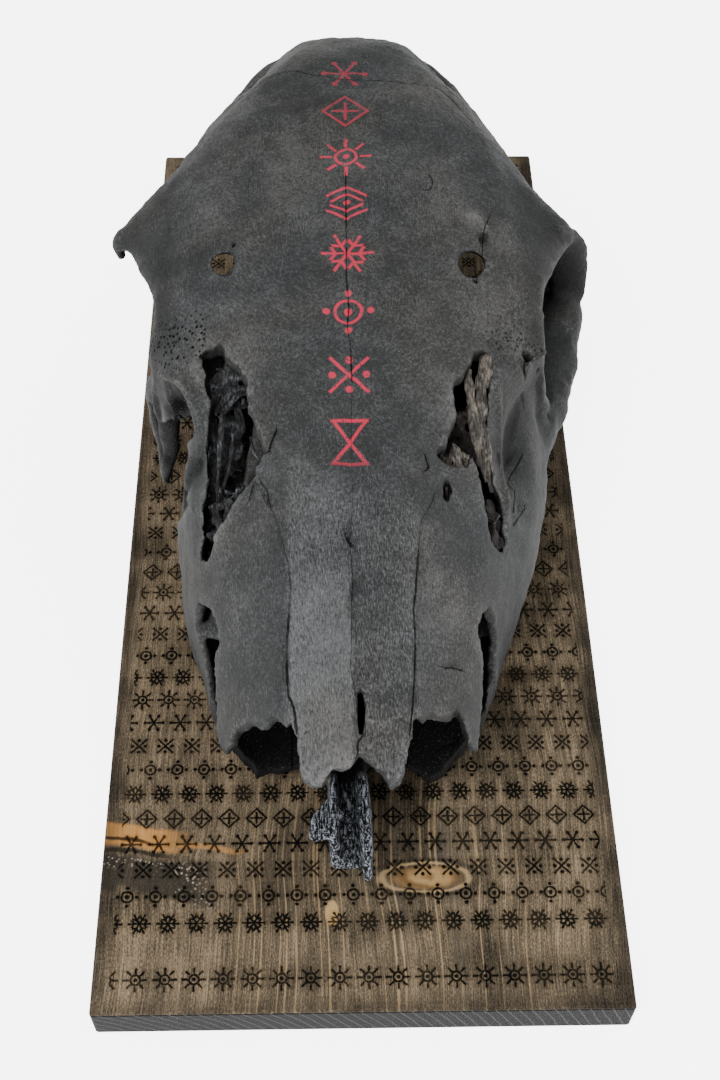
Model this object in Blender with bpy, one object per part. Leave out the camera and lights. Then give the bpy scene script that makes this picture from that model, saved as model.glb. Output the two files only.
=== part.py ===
# Blackened elk skull without antlers or lower jaw, lying on a stained softwood board.
# Metres, +Z up. The origin is the middle of the board's underside, the nose points to -Y.
import math

import bpy
import bmesh
import numpy as np
from mathutils import Matrix, Vector

MM = 0.001

# Board
BOARD_WIDTH = 0.184
BOARD_LENGTH = 0.436
BOARD_THICKNESS = 0.018
BOARD_EDGE_RADIUS = 0.0012

# Skull placing: its middle plane lies a little left of the board's centre line
SKULL_SHIFT = -0.003
REAR_SHIFT = 0.0026

# Mesh fineness of the skull
VOXEL = 0.0015
SKULL_TRIANGLES = 7600

# All shapes below are in millimetres: x outwards to the right of the skull's middle plane,
# y backwards from the board's centre, z up from the board's top face.

# Outer form. Each station: y, height at the middle, ten outline points from the top round
# the side to the underside, height of the underside at the middle.
SKULL_STATIONS = (
    (-186, 77.5, ((9, 77.5), (16, 75), (23, 67), (30, 56), (34, 44),
     (36, 32), (36, 25), (34, 19), (30, 15), (22, 16)), 17),
    (-147, 87.5, ((10, 87.5), (18, 84.5), (28, 75.5), (37, 64), (43, 49),
     (43, 36), (41, 27), (38, 19), (33, 15), (24, 16)), 17),
    (-125, 93, ((11, 93), (19, 90), (30, 81), (41, 68), (48, 52),
     (49, 38), (48, 27), (46, 18), (41, 14), (32, 17)), 18),
    (-98, 100, ((11, 100), (20, 97), (33, 88), (46, 74), (53, 56),
     (55.5, 40), (56, 28), (55, 19), (49, 14), (38, 18)), 24),
    (-75, 106, ((12, 106), (22, 103), (38, 92), (52, 76), (60, 58),
     (64.5, 42), (65, 30), (62, 20), (54, 14), (40, 17)), 28),
    (-60, 110, ((13, 110), (24, 106.5), (40, 96), (53, 82), (64, 61),
     (69.5, 43), (70, 31), (64, 20), (55.5, 14), (41, 17)), 29),
    (-44, 114, ((16, 113.5), (30, 109), (52, 94), (57, 79), (68, 62),
     (74, 44), (73, 31), (64.5, 20), (55.5, 14), (41, 17)), 30),
    (-25, 118, ((20, 117), (38, 111.5), (58, 101), (62, 84), (71, 65),
     (76.5, 46), (75, 33), (64.5, 20), (55.5, 14), (40, 17)), 31),
    (-12, 120.5, ((24, 119), (46, 112), (69, 97), (70, 85), (71, 68),
     (76.5, 49), (74, 35), (64.5, 20), (55.5, 14), (40, 17)), 31),
    (-5, 121.5, ((25, 120), (48, 113), (72, 96), (73, 86), (72, 70),
     (76, 51), (72, 37), (64.5, 20), (55.5, 14), (40, 17)), 31),
    (1, 122.5, ((26, 121), (50, 114), (72, 99), (69.5, 93), (47, 104),
     (43, 76), (62, 40), (64.5, 22), (55.5, 14), (40, 17)), 31),
    (9, 123.5, ((28, 122), (52, 115), (71.5, 102.5), (68.5, 97.5), (44, 107.5),
     (34, 78), (54, 41), (63, 23), (55, 14.2), (39, 18)), 32),
    (20, 124.5, ((29, 123), (54, 115.5), (74, 103), (70.5, 98), (43, 108.5),
     (31, 80), (38, 47), (60, 27), (54, 16), (40, 19)), 38),
    (33, 125.5, ((31, 124), (57, 116), (79.5, 100.5), (75, 95.5), (44, 108),
     (30, 83), (27, 56), (34, 43), (30, 36), (18, 37)), 42),
    (45, 126, ((33, 124), (60, 115), (84.5, 98), (80, 93), (46, 107),
     (31, 84), (28, 60), (26, 47), (20, 40), (10, 40)), 41),
    (54, 126.5, ((34, 124), (61, 115), (89, 96.5), (84, 91.5), (48, 105),
     (34, 84), (30, 60), (26, 46), (20, 39), (10, 39)), 40),
    (61, 126.5, ((34, 124), (60, 115.5), (83, 100), (78, 94), (50, 103),
     (38, 84), (33, 62), (28, 46), (20, 38), (10, 38)), 38),
    (76, 127, ((33, 125), (55, 117), (73, 101.5), (67, 94), (53, 95),
     (46, 78), (43, 58), (34, 43), (22, 35), (10, 34)), 34),
    (90, 127, ((32, 125), (52, 117), (67, 100.5), (62, 92), (54, 85),
     (50, 71), (46, 54), (36, 41), (22, 33), (10, 32)), 32),
    (102, 126.5, ((30, 124.5), (48, 116), (62, 98.5), (58, 89), (53, 79),
     (51, 66), (47, 50), (37, 39), (22, 32), (10, 31)), 31),
    (117, 125.5, ((27, 123), (44, 113.5), (57.5, 95.5), (56, 86), (51, 75),
     (50, 62), (47, 47), (38, 37), (22, 30), (10, 30)), 30),
    (128, 123.5, ((24, 121.5), (39, 111), (51.5, 92.5), (52, 83), (51, 71),
     (50, 58), (47, 45), (38, 35), (22, 29), (10, 29)), 29),
    (142, 119.5, ((21, 117.5), (34, 107), (45.5, 92), (49, 80), (50, 67),
     (50, 55), (47, 43), (38, 33), (22, 28), (10, 28)), 28),
    (155, 114, ((19, 112), (30, 103), (40, 88), (47, 76), (50, 64),
     (50, 52), (48, 41), (38, 32), (22, 28), (10, 28)), 28),
    (166, 105, ((16, 103.5), (27, 96), (36, 84), (42, 72), (47, 60),
     (48, 49), (46, 39), (36, 32), (20, 28), (10, 28)), 28),
    (175, 90, ((12, 89), (20, 84), (28, 75), (34, 66), (38, 55),
     (38, 46), (36, 38), (28, 32), (16, 30), (8, 30)), 30),
)

# The nasal and sinus hollow: y, top, five points, bottom
HOLLOW_STATIONS = (
    (-205, 68, ((12, 67.5), (24, 58), (32, 45), (35, 33), (33, 23)), 20),
    (-147, 84, ((15, 82), (29, 69), (38.5, 52), (40.5, 38), (37, 23)), 21),
    (-125, 89.5, ((16, 87), (32, 74), (43, 55), (46, 40), (42, 24)), 22),
    (-98, 96.5, ((17, 93.5), (36, 80), (48.5, 60), (51.5, 46), (42, 34)), 28),
    (-75, 102.5, ((19, 99.5), (42, 83.5), (54, 65), (56, 50), (42, 38)), 30),
    (-44, 110, ((24, 107), (48, 91), (58, 74), (66, 54), (43, 42)), 32),
    (-25, 113.5, ((32, 108.5), (54, 97), (62, 76), (67, 54), (42, 44)), 34),
    (-15, 114, ((34, 108), (58, 95), (62, 78), (56, 58), (40, 46)), 36),
    (-7, 112, ((28, 107), (42, 97), (48, 82), (42, 62), (30, 50)), 42),
    (2, 109, ((20, 105), (30, 97), (32, 82), (28, 64), (20, 54)), 46),
    (12, 101, ((12, 99), (20, 92), (22, 82), (18, 70), (10, 62)), 58),
)

# Broken front edges, seen from above: nasal tips and upper jaw plates, and the palate below
UPPER_EDGE = (
    (-62, -116), (-52, -121), (-47.5, -128), (-46, -138), (-42.5, -146), (-38.8, -145),
    (-34.5, -145), (-29, -148), (-24, -150), (-20.2, -152), (-19.4, -148.3), (-17.8, -157),
    (-16.3, -166.5), (-15.9, -170.5), (-13.1, -174), (-9.7, -174), (-7.2, -170), (-3.2, -168),
    (2.4, -166), (6.4, -168.7), (8.8, -172), (11, -174.5), (14.1, -173), (15.9, -166.5),
    (17.3, -161), (18.8, -154.5), (19.3, -147), (20, -150.8), (25, -149.2), (30, -147.3),
    (34.8, -141.2), (37, -146), (37.8, -150.2), (41.4, -148.4), (45, -140), (48, -128), (60, -112),
)
LOWER_EDGE = (
    (-64, -112), (-54, -118), (-49, -122), (-44, -127), (-39, -132), (-33.5, -139), (-28, -137),
    (-18, -136), (18, -136), (27, -142), (33, -139), (39, -131), (44, -125), (50, -117), (60, -108),
)
EDGE_HEIGHT = 46

# Heights and distances clear of the skull, where its cutters end
ABOVE_SKULL = 140
BELOW_SKULL = -20
PAST_NOSE = -230
PAST_SIDE = 70
INSIDE_JAW = 39

# Openings in the face, seen from above
LEFT_FACE_GAP = (
    (-51, -20), (-44.6, -19.4), (-40.9, -24.8), (-36.9, -29.7), (-34.7, -36.5), (-33.2, -46.4),
    (-29.2, -58.8), (-33, -69.2), (-40.5, -71.2), (-43.3, -76.5), (-46.6, -80.1), (-48.5, -86),
    (-51.5, -83), (-51, -72), (-48, -60), (-50, -46), (-49, -34),
)
LEFT_FACE_GAP_FLOOR = 66
RIGHT_FACE_GAP = (
    (48, -20.5), (43.8, -25.1), (38.5, -31.5), (35.7, -39.5), (34.7, -47.7), (32.6, -57.3),
    (29.3, -60.6), (33.5, -63.4), (38.9, -61.7), (40.5, -52), (42.1, -41.7), (45.8, -30.5),
)
RIGHT_FACE_GAP_FLOOR = 80
RIGHT_FACE_SLIT = (
    (44.5, -45), (42.2, -53.2), (45.1, -63.3), (50, -77), (53.5, -79), (52.8, -72), (48, -58),
)
RIGHT_FACE_SLIT_FLOOR = 66
# What is broken away from the left cheek, seen along the slope of the face, at height 60
LEFT_CHEEK_LOSS = (
    (-65.9, -9), (-59.8, -7.6), (-58.1, -11.1), (-58.2, -17.1), (-61.1, -20), (-60.4, -25.9),
    (-58.4, -29.8), (-58.1, -34.6), (-58.8, -42.7), (-58.5, -49.7), (-61.1, -56.5), (-92, -56.5), (-92, -9),
)
LEFT_CHEEK_LEVEL = 60
LEFT_CHEEK_SPAN = (24, 96)
LEFT_SOCKET_LOSS = ((-56, -30), (-58, 0), (-60, 16), (-96, 16), (-96, -30))
LEFT_SOCKET_SPAN = (27, 63)
# How far the left upper jaw's outer crest is worn back
LEFT_JAW_LOSS = 9.5
# Openings in the side walls of the upper jaw, seen from the side: y, z
LEFT_JAW_GAP = ((-95, 62), (-106, 67), (-111, 67), (-119, 60), (-130, 55), (-122, 47), (-103, 51))
RIGHT_JAW_GAP = (
    (-103, 68), (-110, 71), (-116, 66), (-130, 58), (-148, 50), (-144, 45), (-114, 50), (-105, 57),
)
# Holes above the eye sockets: x, y, radius, at the height where they open
BROW_HOLES = ((-45, 15.3, 4.0), (45.3, 14.8, 4.6))
BROW_HOLE_LEVEL = 118.5
BROW_HOLE_FLOOR = 84
# Sloped openings run away from this point, high up in front of the nose
COLUMN_APEX = (-5.6, -386, 499)

# The round opening at the back of the head, and the inner nostrils under the face
SPINE_HOLE_PATH = ((0, 130, 56), (0, 160, 50), (0, 195, 46))
SPINE_HOLE_SIZES = ((14, 13), (14, 13), (15, 13))
THROAT = ((-13, -6), (13, -6), (15, 22), (13, 44), (-13, 44), (-15, 22))
THROAT_SPAN = (10, 62)

# Bars of bone: name, path, half width and half height at each point, the way the height points
UPWARDS = (0, 0, 1)
OUTWARDS = (1, 0, 0)
BACKWARDS = (0, 1, 0)
BAR_SIDES = 10
BARS = (
    ("rightArch",
     ((69, -26, 46), (73, -10, 46), (77, 6, 46), (80, 22, 47), (82.5, 38, 51), (87.5, 54, 56),
      (88, 68, 56), (83, 82, 52), (70, 96, 50), (46, 108, 54)),
     ((5, 12), (7, 11), (9, 9.5), (12, 8.5), (13, 8), (10, 8),
      (5, 7), (3.5, 6), (6, 6), (10, 9)), UPWARDS),
    ("rightEyeBar",
     ((89, 53, 56), (90.5, 57, 66), (89, 58, 78), (85, 56, 90), (77, 48, 100)),
     ((7, 5), (7.5, 3.4), (8, 3), (8, 3.2), (8, 3.4)), BACKWARDS),
    ("rightEyeRim",
     ((69, -6, 97), (72, -9, 86), (74, -10, 74), (76, -7, 62), (78, 1, 52)),
     ((6, 4), (6, 4), (6.5, 4), (7, 5), (7, 7)), OUTWARDS),
    ("leftBrowTip",
     ((-76, 51, 100), (-83, 52, 98.5), (-88.5, 53, 94), (-88.5, 52.5, 87)),
     ((8, 3), (6, 3), (4, 2.6), (2, 1.4)), OUTWARDS),
    ("leftEyeRim",
     ((-68, -11, 95), (-69.5, -7, 86), (-71, -4, 77), (-73, 0, 68)),
     ((6, 4), (7, 4), (8, 4), (7, 4)), OUTWARDS),
    ("leftCheekFinger",
     ((-70, -3, 78), (-73.5, 1, 68), (-74, 0, 57), (-73, -7, 45), (-72, -16, 32)),
     ((8, 3.5), (8, 4), (6.5, 3.6), (4.5, 3), (2.4, 2)), OUTWARDS),
    ("leftArchStump",
     ((-46, 108, 54), (-66, 100, 51), (-77, 93, 51)),
     ((10, 9), (7, 6), (3.5, 4.5)), UPWARDS),
    ("crest",
     ((56, 144, 56), (55.5, 148, 68), (50.5, 153.5, 79), (43, 158.5, 85.5), (33, 163, 90.5),
      (17, 168, 95), (0, 169.5, 97), (-17, 168, 95), (-33, 163, 90.5), (-43, 158.5, 85.5),
      (-50.5, 153.5, 79), (-55.5, 148, 68), (-56, 144, 56)),
     ((2.6, 3.4), (2.6, 3.4), (2.6, 3.4), (2.6, 3.4), (2.6, 3.4),
      (2.6, 3.4), (3.2, 3.6), (2.6, 3.4), (2.6, 3.4), (2.6, 3.4),
      (2.6, 3.4), (2.6, 3.4), (2.6, 3.4)), BACKWARDS),
    ("skullBase",
     ((0, 24, 44), (0, 60, 42), (0, 100, 36), (0, 140, 34), (0, 176, 36)),
     ((12, 6), (14, 7), (18, 7), (22, 7), (17, 6)), UPWARDS),
    # Ploughshare bone: a thin upright plate with a troughed prong out of the nose
    ("septum",
     ((0, -158, 32), (0, -130, 40), (0, -90, 48), (0, -50, 58), (0, -10, 70), (0, 10, 74)),
     ((1.6, 8), (1.6, 17), (1.6, 23), (1.6, 27), (1.8, 30), (2, 26)), UPWARDS),
    ("prongLeftWall",
     ((-4.5, -120, 26), (-6.3, -140, 28), (-6.5, -156, 31), (-6.5, -168, 29), (-5.5, -175, 23)),
     ((2, 5), (2.2, 6), (2.4, 7), (2.6, 6), (3, 1.8)), UPWARDS),
    ("prongRightWall",
     ((4.5, -120, 26), (2.8, -140, 28), (3.6, -156, 31), (4.4, -169, 28), (5, -181, 22)),
     ((2, 5), (2.2, 6), (2.4, 7), (2.2, 6), (1.4, 1.8)), UPWARDS),
    ("prongFloor",
     ((0, -118, 22), (-1.6, -150, 23), (-1.2, -176, 20)),
     ((6, 2), (5.5, 2), (4.5, 1.5)), UPWARDS),
    ("prongFlange",
     ((-6, -158, 32), (-10, -165, 32), (-14, -170, 31)),
     ((4, 1.6), (5, 1.6), (1.6, 1)), UPWARDS),
)
# The same on both sides
PAIRED_BARS = (
    ("earBone",
     ((40, 136, 44), (52, 141, 50), (55, 144, 58)),
     ((9, 9), (7, 8), (3, 5)), UPWARDS),
    ("jugularProcess",
     ((42, 156, 44), (46, 158, 30), (45, 155, 15), (43, 151, 3)),
     ((10, 6), (8, 4), (5, 3), (2.5, 2)), BACKWARDS),
    ("palateWing",
     ((19, 10, 34), (18, 28, 30), (18, 48, 31), (19, 66, 38)),
     ((2, 14), (2, 14), (2, 11), (2.5, 6)), UPWARDS),
    # Scrolls inside the nose, carried by its side walls
    ("scroll",
     ((40, -104, 50), (33, -80, 58), (28, -50, 68), (24, -20, 78), (20, 2, 82)),
     ((14, 2), (12, 4), (11, 6), (10, 8), (10, 8)), UPWARDS),
)
# Knobs on both sides of the head's base: centre, radii, forward tilt in degrees
PAIRED_KNOBS = (
    ("condyle", (17, 179, 37), (10, 9, 16), 20),
    ("earCapsule", (30, 118, 27), (10, 17, 12), 0),
)

# Cheek teeth from the front: length along the row, crown width
TOOTH_SIZES = ((16, 14), (17, 17), (16, 19), (22, 22), (25, 24), (26, 22))
# Crown outline from top to biting edge: height, share of the full size
TOOTH_LEVELS = ((13.2, 0.94), (9.0, 1.0), (4.5, 0.97), (1.6, 0.88), (0.3, 0.70))
TOOTH_ROW_FRONT = -101.5
TOOTH_ROW_OUTER = (59.5, 61, 62.5, 63, 63, 62)
TOOTH_GAP = 0.4
TOOTH_SIDES = 16


def clearScene():
    for item in list(bpy.data.objects):
        bpy.data.objects.remove(item)


def makeMaterial(name, colour, roughness):
    material = bpy.data.materials.new(name)
    material.use_nodes = True
    shader = material.node_tree.nodes["Principled BSDF"]
    shader.inputs["Base Color"].default_value = (*colour, 1.0)
    shader.inputs["Roughness"].default_value = roughness
    shader.inputs["Metallic"].default_value = 0.0
    return material


def splineThrough(points, samples, closed, knots=None):
    # A smooth curve through every point, with the given number of samples a span.
    p = np.asarray(points, float)
    count = len(p)
    if knots is None:
        loop = np.concatenate([p, p[:1]])
        gaps = np.sqrt(np.linalg.norm(np.diff(loop, axis=0), axis=1))
    else:
        gaps = np.diff(np.append(knots, knots[-1] + 1.0))
    if closed:
        p = np.concatenate([p[-1:], p, p[:2]])
        gaps = np.concatenate([gaps[-1:], gaps, gaps[:1]])
    else:
        gaps = gaps[:count - 1]
        p = np.concatenate([2 * p[:1] - p[1:2], p, 2 * p[-1:] - p[-2:-1]])
        gaps = np.concatenate([gaps[:1], gaps, gaps[-1:]])
    result = []
    for i in range(1, len(p) - 2):
        before, here, after = gaps[i - 1], gaps[i], gaps[i + 1]
        step = (p[i + 1] - p[i]) / here
        start = (p[i] - p[i - 1]) / before - (p[i + 1] - p[i - 1]) / (before + here) + step
        end = step - (p[i + 2] - p[i]) / (here + after) + (p[i + 2] - p[i + 1]) / after
        for k in range(samples):
            t = k / samples
            result.append(
                (2 * t ** 3 - 3 * t ** 2 + 1) * p[i]
                + (t ** 3 - 2 * t ** 2 + t) * here * start
                + (3 * t ** 2 - 2 * t ** 3) * p[i + 1]
                + (t ** 3 - t ** 2) * here * end
            )
    if not closed:
        result.append(p[-2])
    return np.array(result)


def place(point):
    # The back of the head leans a little to the right of the face's middle plane.
    x, y, z = point
    lean = min(1.0, max(0.0, (y - 60) / 80)) * REAR_SHIFT
    return (x * MM + SKULL_SHIFT + lean, y * MM, z * MM + BOARD_THICKNESS)


def meshObject(name, vertices, faces):
    mesh = bpy.data.meshes.new(name)
    mesh.from_pydata([tuple(v) for v in vertices], [], faces)
    bm = bmesh.new()
    bm.from_mesh(mesh)
    bmesh.ops.recalc_face_normals(bm, faces=bm.faces)
    bm.to_mesh(mesh)
    bm.free()
    item = bpy.data.objects.new(name, mesh)
    bpy.context.scene.collection.objects.link(item)
    return item


def skinRings(name, rings):
    # Rings of equal count become a closed skin with a flat cap at each end.
    count = len(rings[0])
    vertices = [place(point) for ring in rings for point in ring]
    faces = []
    for i in range(len(rings) - 1):
        for j in range(count):
            k = (j + 1) % count
            faces.append((i * count + j, i * count + k, (i + 1) * count + k, (i + 1) * count + j))
    faces.append(tuple(range(count))[::-1])
    faces.append(tuple(range((len(rings) - 1) * count, len(rings) * count)))
    return meshObject(name, vertices, faces)


def loftStations(name, stations, perSpan, alongSpan):
    rings = []
    for y, top, half, bottom in stations:
        outline = [(0, top)] + list(half) + [(0, bottom)] + [(-x, z) for x, z in reversed(half)]
        ring = splineThrough(outline, perSpan, True)
        rings.append([(x, y, z) for x, z in ring])
    places = [station[0] for station in stations]
    return skinRings(name, splineThrough(rings, alongSpan, False, places))


def sweep(name, path, sizes, up=UPWARDS):
    # An elliptical bar along a smooth path: half width across, half height towards up.
    points = splineThrough(path, 4, False)
    widths = splineThrough(sizes, 4, False, list(range(len(sizes))))
    rings = []
    for i, point in enumerate(points):
        ahead = points[min(i + 1, len(points) - 1)]
        behind = points[max(i - 1, 0)]
        along = Vector(ahead - behind).normalized()
        across = along.cross(Vector(up)).normalized()
        rise = across.cross(along)
        half, tall = np.maximum(widths[i], 0.4)
        rings.append([
            tuple(Vector(point)
                  + across * half * math.cos(math.tau * k / BAR_SIDES)
                  + rise * tall * math.sin(math.tau * k / BAR_SIDES))
            for k in range(BAR_SIDES)
        ])
    return skinRings(name, rings)


def prism(name, outline, low, high):
    # An upright column over an outline seen from above.
    return skinRings(name, [[(x, y, z) for x, y in outline] for z in (low, high)])


def slopedColumn(name, outline, level, low, high):
    # A column over an outline given at one height; its walls all run to the apex.
    apexX, apexY, apexZ = COLUMN_APEX
    rings = []
    for z in (low, high):
        spread = (z - apexZ) / (level - apexZ)
        rings.append([(apexX + (x - apexX) * spread, apexY + (y - apexY) * spread, z) for x, y in outline])
    return skinRings(name, rings)


def sidePrism(name, outline, near, far):
    # A column across the skull over an outline seen from the side.
    return skinRings(name, [[(x, y, z) for y, z in outline] for x in (near, far)])


def ball(name, centre, radii, turn=0):
    mesh = bpy.data.meshes.new(name)
    bm = bmesh.new()
    bmesh.ops.create_uvsphere(bm, u_segments=24, v_segments=14, radius=1.0)
    scale = Matrix.Diagonal((*[radius * MM for radius in radii], 1.0))
    move = Matrix.Translation(place(centre))
    bm.transform(move @ Matrix.Rotation(math.radians(turn), 4, "X") @ scale)
    bm.to_mesh(mesh)
    bm.free()
    item = bpy.data.objects.new(name, mesh)
    bpy.context.scene.collection.objects.link(item)
    return item


def bake(item):
    # Replaces the mesh with the one that its modifiers give.
    graph = bpy.context.evaluated_depsgraph_get()
    mesh = bpy.data.meshes.new_from_object(item.evaluated_get(graph))
    item.modifiers.clear()
    item.data = mesh
    item.data.name = item.name


def cut(item, cutters):
    for cutter in cutters:
        step = item.modifiers.new("cut", "BOOLEAN")
        step.operation = "DIFFERENCE"
        step.solver = "EXACT"
        step.object = cutter
        bake(item)
        bpy.data.objects.remove(cutter)


def join(item, others):
    bm = bmesh.new()
    for source in [item] + others:
        bm.from_mesh(source.data)
    bm.to_mesh(item.data)
    bm.free()
    for source in others:
        bpy.data.objects.remove(source)


def keepLargestPiece(item):
    bm = bmesh.new()
    bm.from_mesh(item.data)
    left = set(bm.verts)
    pieces = []
    while left:
        stack = [left.pop()]
        piece = list(stack)
        while stack:
            for edge in stack.pop().link_edges:
                for vertex in edge.verts:
                    if vertex in left:
                        left.remove(vertex)
                        stack.append(vertex)
                        piece.append(vertex)
        pieces.append(piece)
    pieces.sort(key=len)
    for piece in pieces[:-1]:
        bmesh.ops.delete(bm, geom=piece, context="VERTS")
    bm.to_mesh(item.data)
    bm.free()


def mirrorPath(path):
    return [(-x, y, z) for x, y, z in path]


def narrowLeftJaw(item):
    # The left upper jaw has lost its outer crest, so it is a little narrower there.
    for vertex in item.data.vertices:
        x = (vertex.co.x - SKULL_SHIFT) / MM
        y = vertex.co.y / MM
        z = (vertex.co.z - BOARD_THICKNESS) / MM
        if x < -45 and y < 0:
            reach = min(1.0, (-x - 45) / 15) * max(0.0, 1.0 - abs(y + 45) / 45)
            low = min(1.0, max(0.0, (75 - z) / 20)) * min(1.0, max(0.0, (z - 18) / 12))
            vertex.co.x += LEFT_JAW_LOSS * reach * low * MM


def makeShell():
    shell = loftStations("skull", SKULL_STATIONS, 3, 3)
    narrowLeftJaw(shell)
    hollow = loftStations("hollow", HOLLOW_STATIONS, 3, 3)
    narrowLeftJaw(hollow)
    front = ((PAST_SIDE, PAST_NOSE), (-PAST_SIDE, PAST_NOSE))
    cutters = [hollow]
    cutters.append(prism("upper", UPPER_EDGE + front, EDGE_HEIGHT, ABOVE_SKULL))
    cutters.append(prism("lower", LOWER_EDGE + front, BELOW_SKULL, EDGE_HEIGHT + 0.5))
    cutters.append(prism("leftFaceGap", LEFT_FACE_GAP, LEFT_FACE_GAP_FLOOR, ABOVE_SKULL))
    cutters.append(prism("rightFaceGap", RIGHT_FACE_GAP, RIGHT_FACE_GAP_FLOOR, ABOVE_SKULL))
    cutters.append(prism("rightFaceSlit", RIGHT_FACE_SLIT, RIGHT_FACE_SLIT_FLOOR, ABOVE_SKULL))
    cutters.append(slopedColumn("leftCheekLoss", LEFT_CHEEK_LOSS, LEFT_CHEEK_LEVEL, *LEFT_CHEEK_SPAN))
    cutters.append(prism("leftSocketLoss", LEFT_SOCKET_LOSS, *LEFT_SOCKET_SPAN))
    cutters.append(sidePrism("leftJawGap", LEFT_JAW_GAP, -PAST_SIDE, -INSIDE_JAW))
    cutters.append(sidePrism("rightJawGap", RIGHT_JAW_GAP, INSIDE_JAW, PAST_SIDE))
    for x, y, radius in BROW_HOLES:
        turns = [math.tau * k / 12 for k in range(12)]
        outline = [(x + radius * math.cos(turn), y + radius * math.sin(turn)) for turn in turns]
        cutters.append(slopedColumn("browHole", outline, BROW_HOLE_LEVEL, BROW_HOLE_FLOOR, ABOVE_SKULL))
    cutters.append(sweep("spineHole", SPINE_HOLE_PATH, SPINE_HOLE_SIZES))
    cutters.append(prism("throat", THROAT, *THROAT_SPAN))
    cut(shell, cutters)
    return shell


def makeBars():
    bars = [sweep(*bar) for bar in BARS]
    for name, path, sizes, up in PAIRED_BARS:
        bars.append(sweep(name, path, sizes, up))
        bars.append(sweep(name, mirrorPath(path), sizes, up))
    for name, centre, radii, turn in PAIRED_KNOBS:
        bars.append(ball(name, centre, radii, turn))
        bars.append(ball(name, mirrorPath([centre])[0], radii, turn))
    return bars


def makeSkull():
    skull = makeShell()
    join(skull, makeBars())
    remesh = skull.modifiers.new("fuse", "REMESH")
    remesh.mode = "VOXEL"
    remesh.voxel_size = VOXEL
    smooth = skull.modifiers.new("smooth", "SMOOTH")
    smooth.factor = 0.5
    smooth.iterations = 2
    bake(skull)
    keepLargestPiece(skull)
    faces = sum(len(face.vertices) - 2 for face in skull.data.polygons)
    thin = skull.modifiers.new("thin", "DECIMATE")
    thin.ratio = SKULL_TRIANGLES / faces
    bake(skull)
    return skull


def makeBoard():
    mesh = bpy.data.meshes.new("board")
    bm = bmesh.new()
    bmesh.ops.create_cube(bm, size=1.0)
    size = Matrix.Diagonal((BOARD_WIDTH, BOARD_LENGTH, BOARD_THICKNESS, 1.0))
    bm.transform(Matrix.Translation((0, 0, BOARD_THICKNESS / 2)) @ size)
    bm.to_mesh(mesh)
    bm.free()
    board = bpy.data.objects.new("board", mesh)
    bpy.context.scene.collection.objects.link(board)
    bevel = board.modifiers.new("edges", "BEVEL")
    bevel.width = BOARD_EDGE_RADIUS
    bevel.segments = 2
    bevel.limit_method = "ANGLE"
    return board


def makeTooth(name, side, front, length, outer, width):
    # A cheek tooth crown: a rounded block with two ridged lobes along the row.
    rings = []
    middle = front + length / 2
    centre = outer - width / 2
    for z, scale in TOOTH_LEVELS:
        ring = []
        for k in range(TOOTH_SIDES):
            angle = math.tau * k / TOOTH_SIDES
            cosine = math.cos(angle)
            sine = math.sin(angle)
            x = math.copysign(abs(cosine) ** 0.6, cosine) * width / 2
            y = math.copysign(abs(sine) ** 0.6, sine) * length / 2
            pinch = 1.0 - 0.10 * math.exp(-((y / (0.16 * length)) ** 2))
            ring.append((side * (centre + x * scale * pinch), middle + y * scale, z))
        rings.append(ring)
    return skinRings(name, rings)


def makeTeeth():
    teeth = []
    for side, word in ((1, "right"), (-1, "left")):
        front = TOOTH_ROW_FRONT
        for number, (length, width) in enumerate(TOOTH_SIZES):
            name = f"tooth_{word}_{number + 1}"
            outer = TOOTH_ROW_OUTER[number]
            teeth.append(makeTooth(name, side, front, length, outer, width))
            front += length + TOOTH_GAP
    return teeth


def main():
    clearScene()
    skull = makeSkull()
    skull.data.materials.append(makeMaterial("blackenedBone", (0.055, 0.058, 0.064), 0.62))
    board = makeBoard()
    board.data.materials.append(makeMaterial("stainedWood", (0.22, 0.15, 0.09), 0.6))
    enamel = makeMaterial("blackenedEnamel", (0.03, 0.03, 0.032), 0.45)
    for tooth in makeTeeth():
        tooth.data.materials.append(enamel)


main()
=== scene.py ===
# Blackened elk skull on a stained board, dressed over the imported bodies. Metres, +Z up, nose to -Y.
import math

import bpy
import numpy as np
from mathutils import Matrix, Vector, noise
from mathutils.bvhtree import BVHTree


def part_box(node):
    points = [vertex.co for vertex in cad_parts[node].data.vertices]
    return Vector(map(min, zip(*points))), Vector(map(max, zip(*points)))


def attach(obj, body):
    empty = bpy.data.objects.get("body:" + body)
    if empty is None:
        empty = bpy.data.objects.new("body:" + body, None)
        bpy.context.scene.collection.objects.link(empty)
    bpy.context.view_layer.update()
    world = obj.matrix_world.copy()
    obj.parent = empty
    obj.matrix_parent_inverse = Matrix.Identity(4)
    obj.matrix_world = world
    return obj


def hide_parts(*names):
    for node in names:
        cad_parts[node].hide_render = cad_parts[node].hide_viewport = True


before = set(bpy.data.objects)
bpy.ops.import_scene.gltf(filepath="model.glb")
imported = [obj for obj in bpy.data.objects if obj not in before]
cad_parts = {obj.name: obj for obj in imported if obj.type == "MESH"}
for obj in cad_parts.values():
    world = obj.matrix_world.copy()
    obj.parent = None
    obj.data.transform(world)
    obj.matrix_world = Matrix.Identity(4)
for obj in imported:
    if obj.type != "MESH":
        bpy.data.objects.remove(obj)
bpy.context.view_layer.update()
mm = 0.001
print("frame loaded:", len(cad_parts), "nodes")

# Shapes below are in millimetres: x outwards to the right of the skull's middle plane,
# y backwards from the board's centre, z up from the board's top face.
skullPlace = {"shift": -3.0, "rearShift": 2.6, "rearFrom": 60, "rearOver": 80, "boardTop": 18.0}


def toWorld(points):
    points = np.array(points, float)
    lean = np.clip((points[..., 1] - skullPlace["rearFrom"]) / skullPlace["rearOver"], 0, 1)
    points[..., 0] += skullPlace["shift"] + lean * skullPlace["rearShift"]
    points[..., 2] += skullPlace["boardTop"]
    return points * mm


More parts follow.
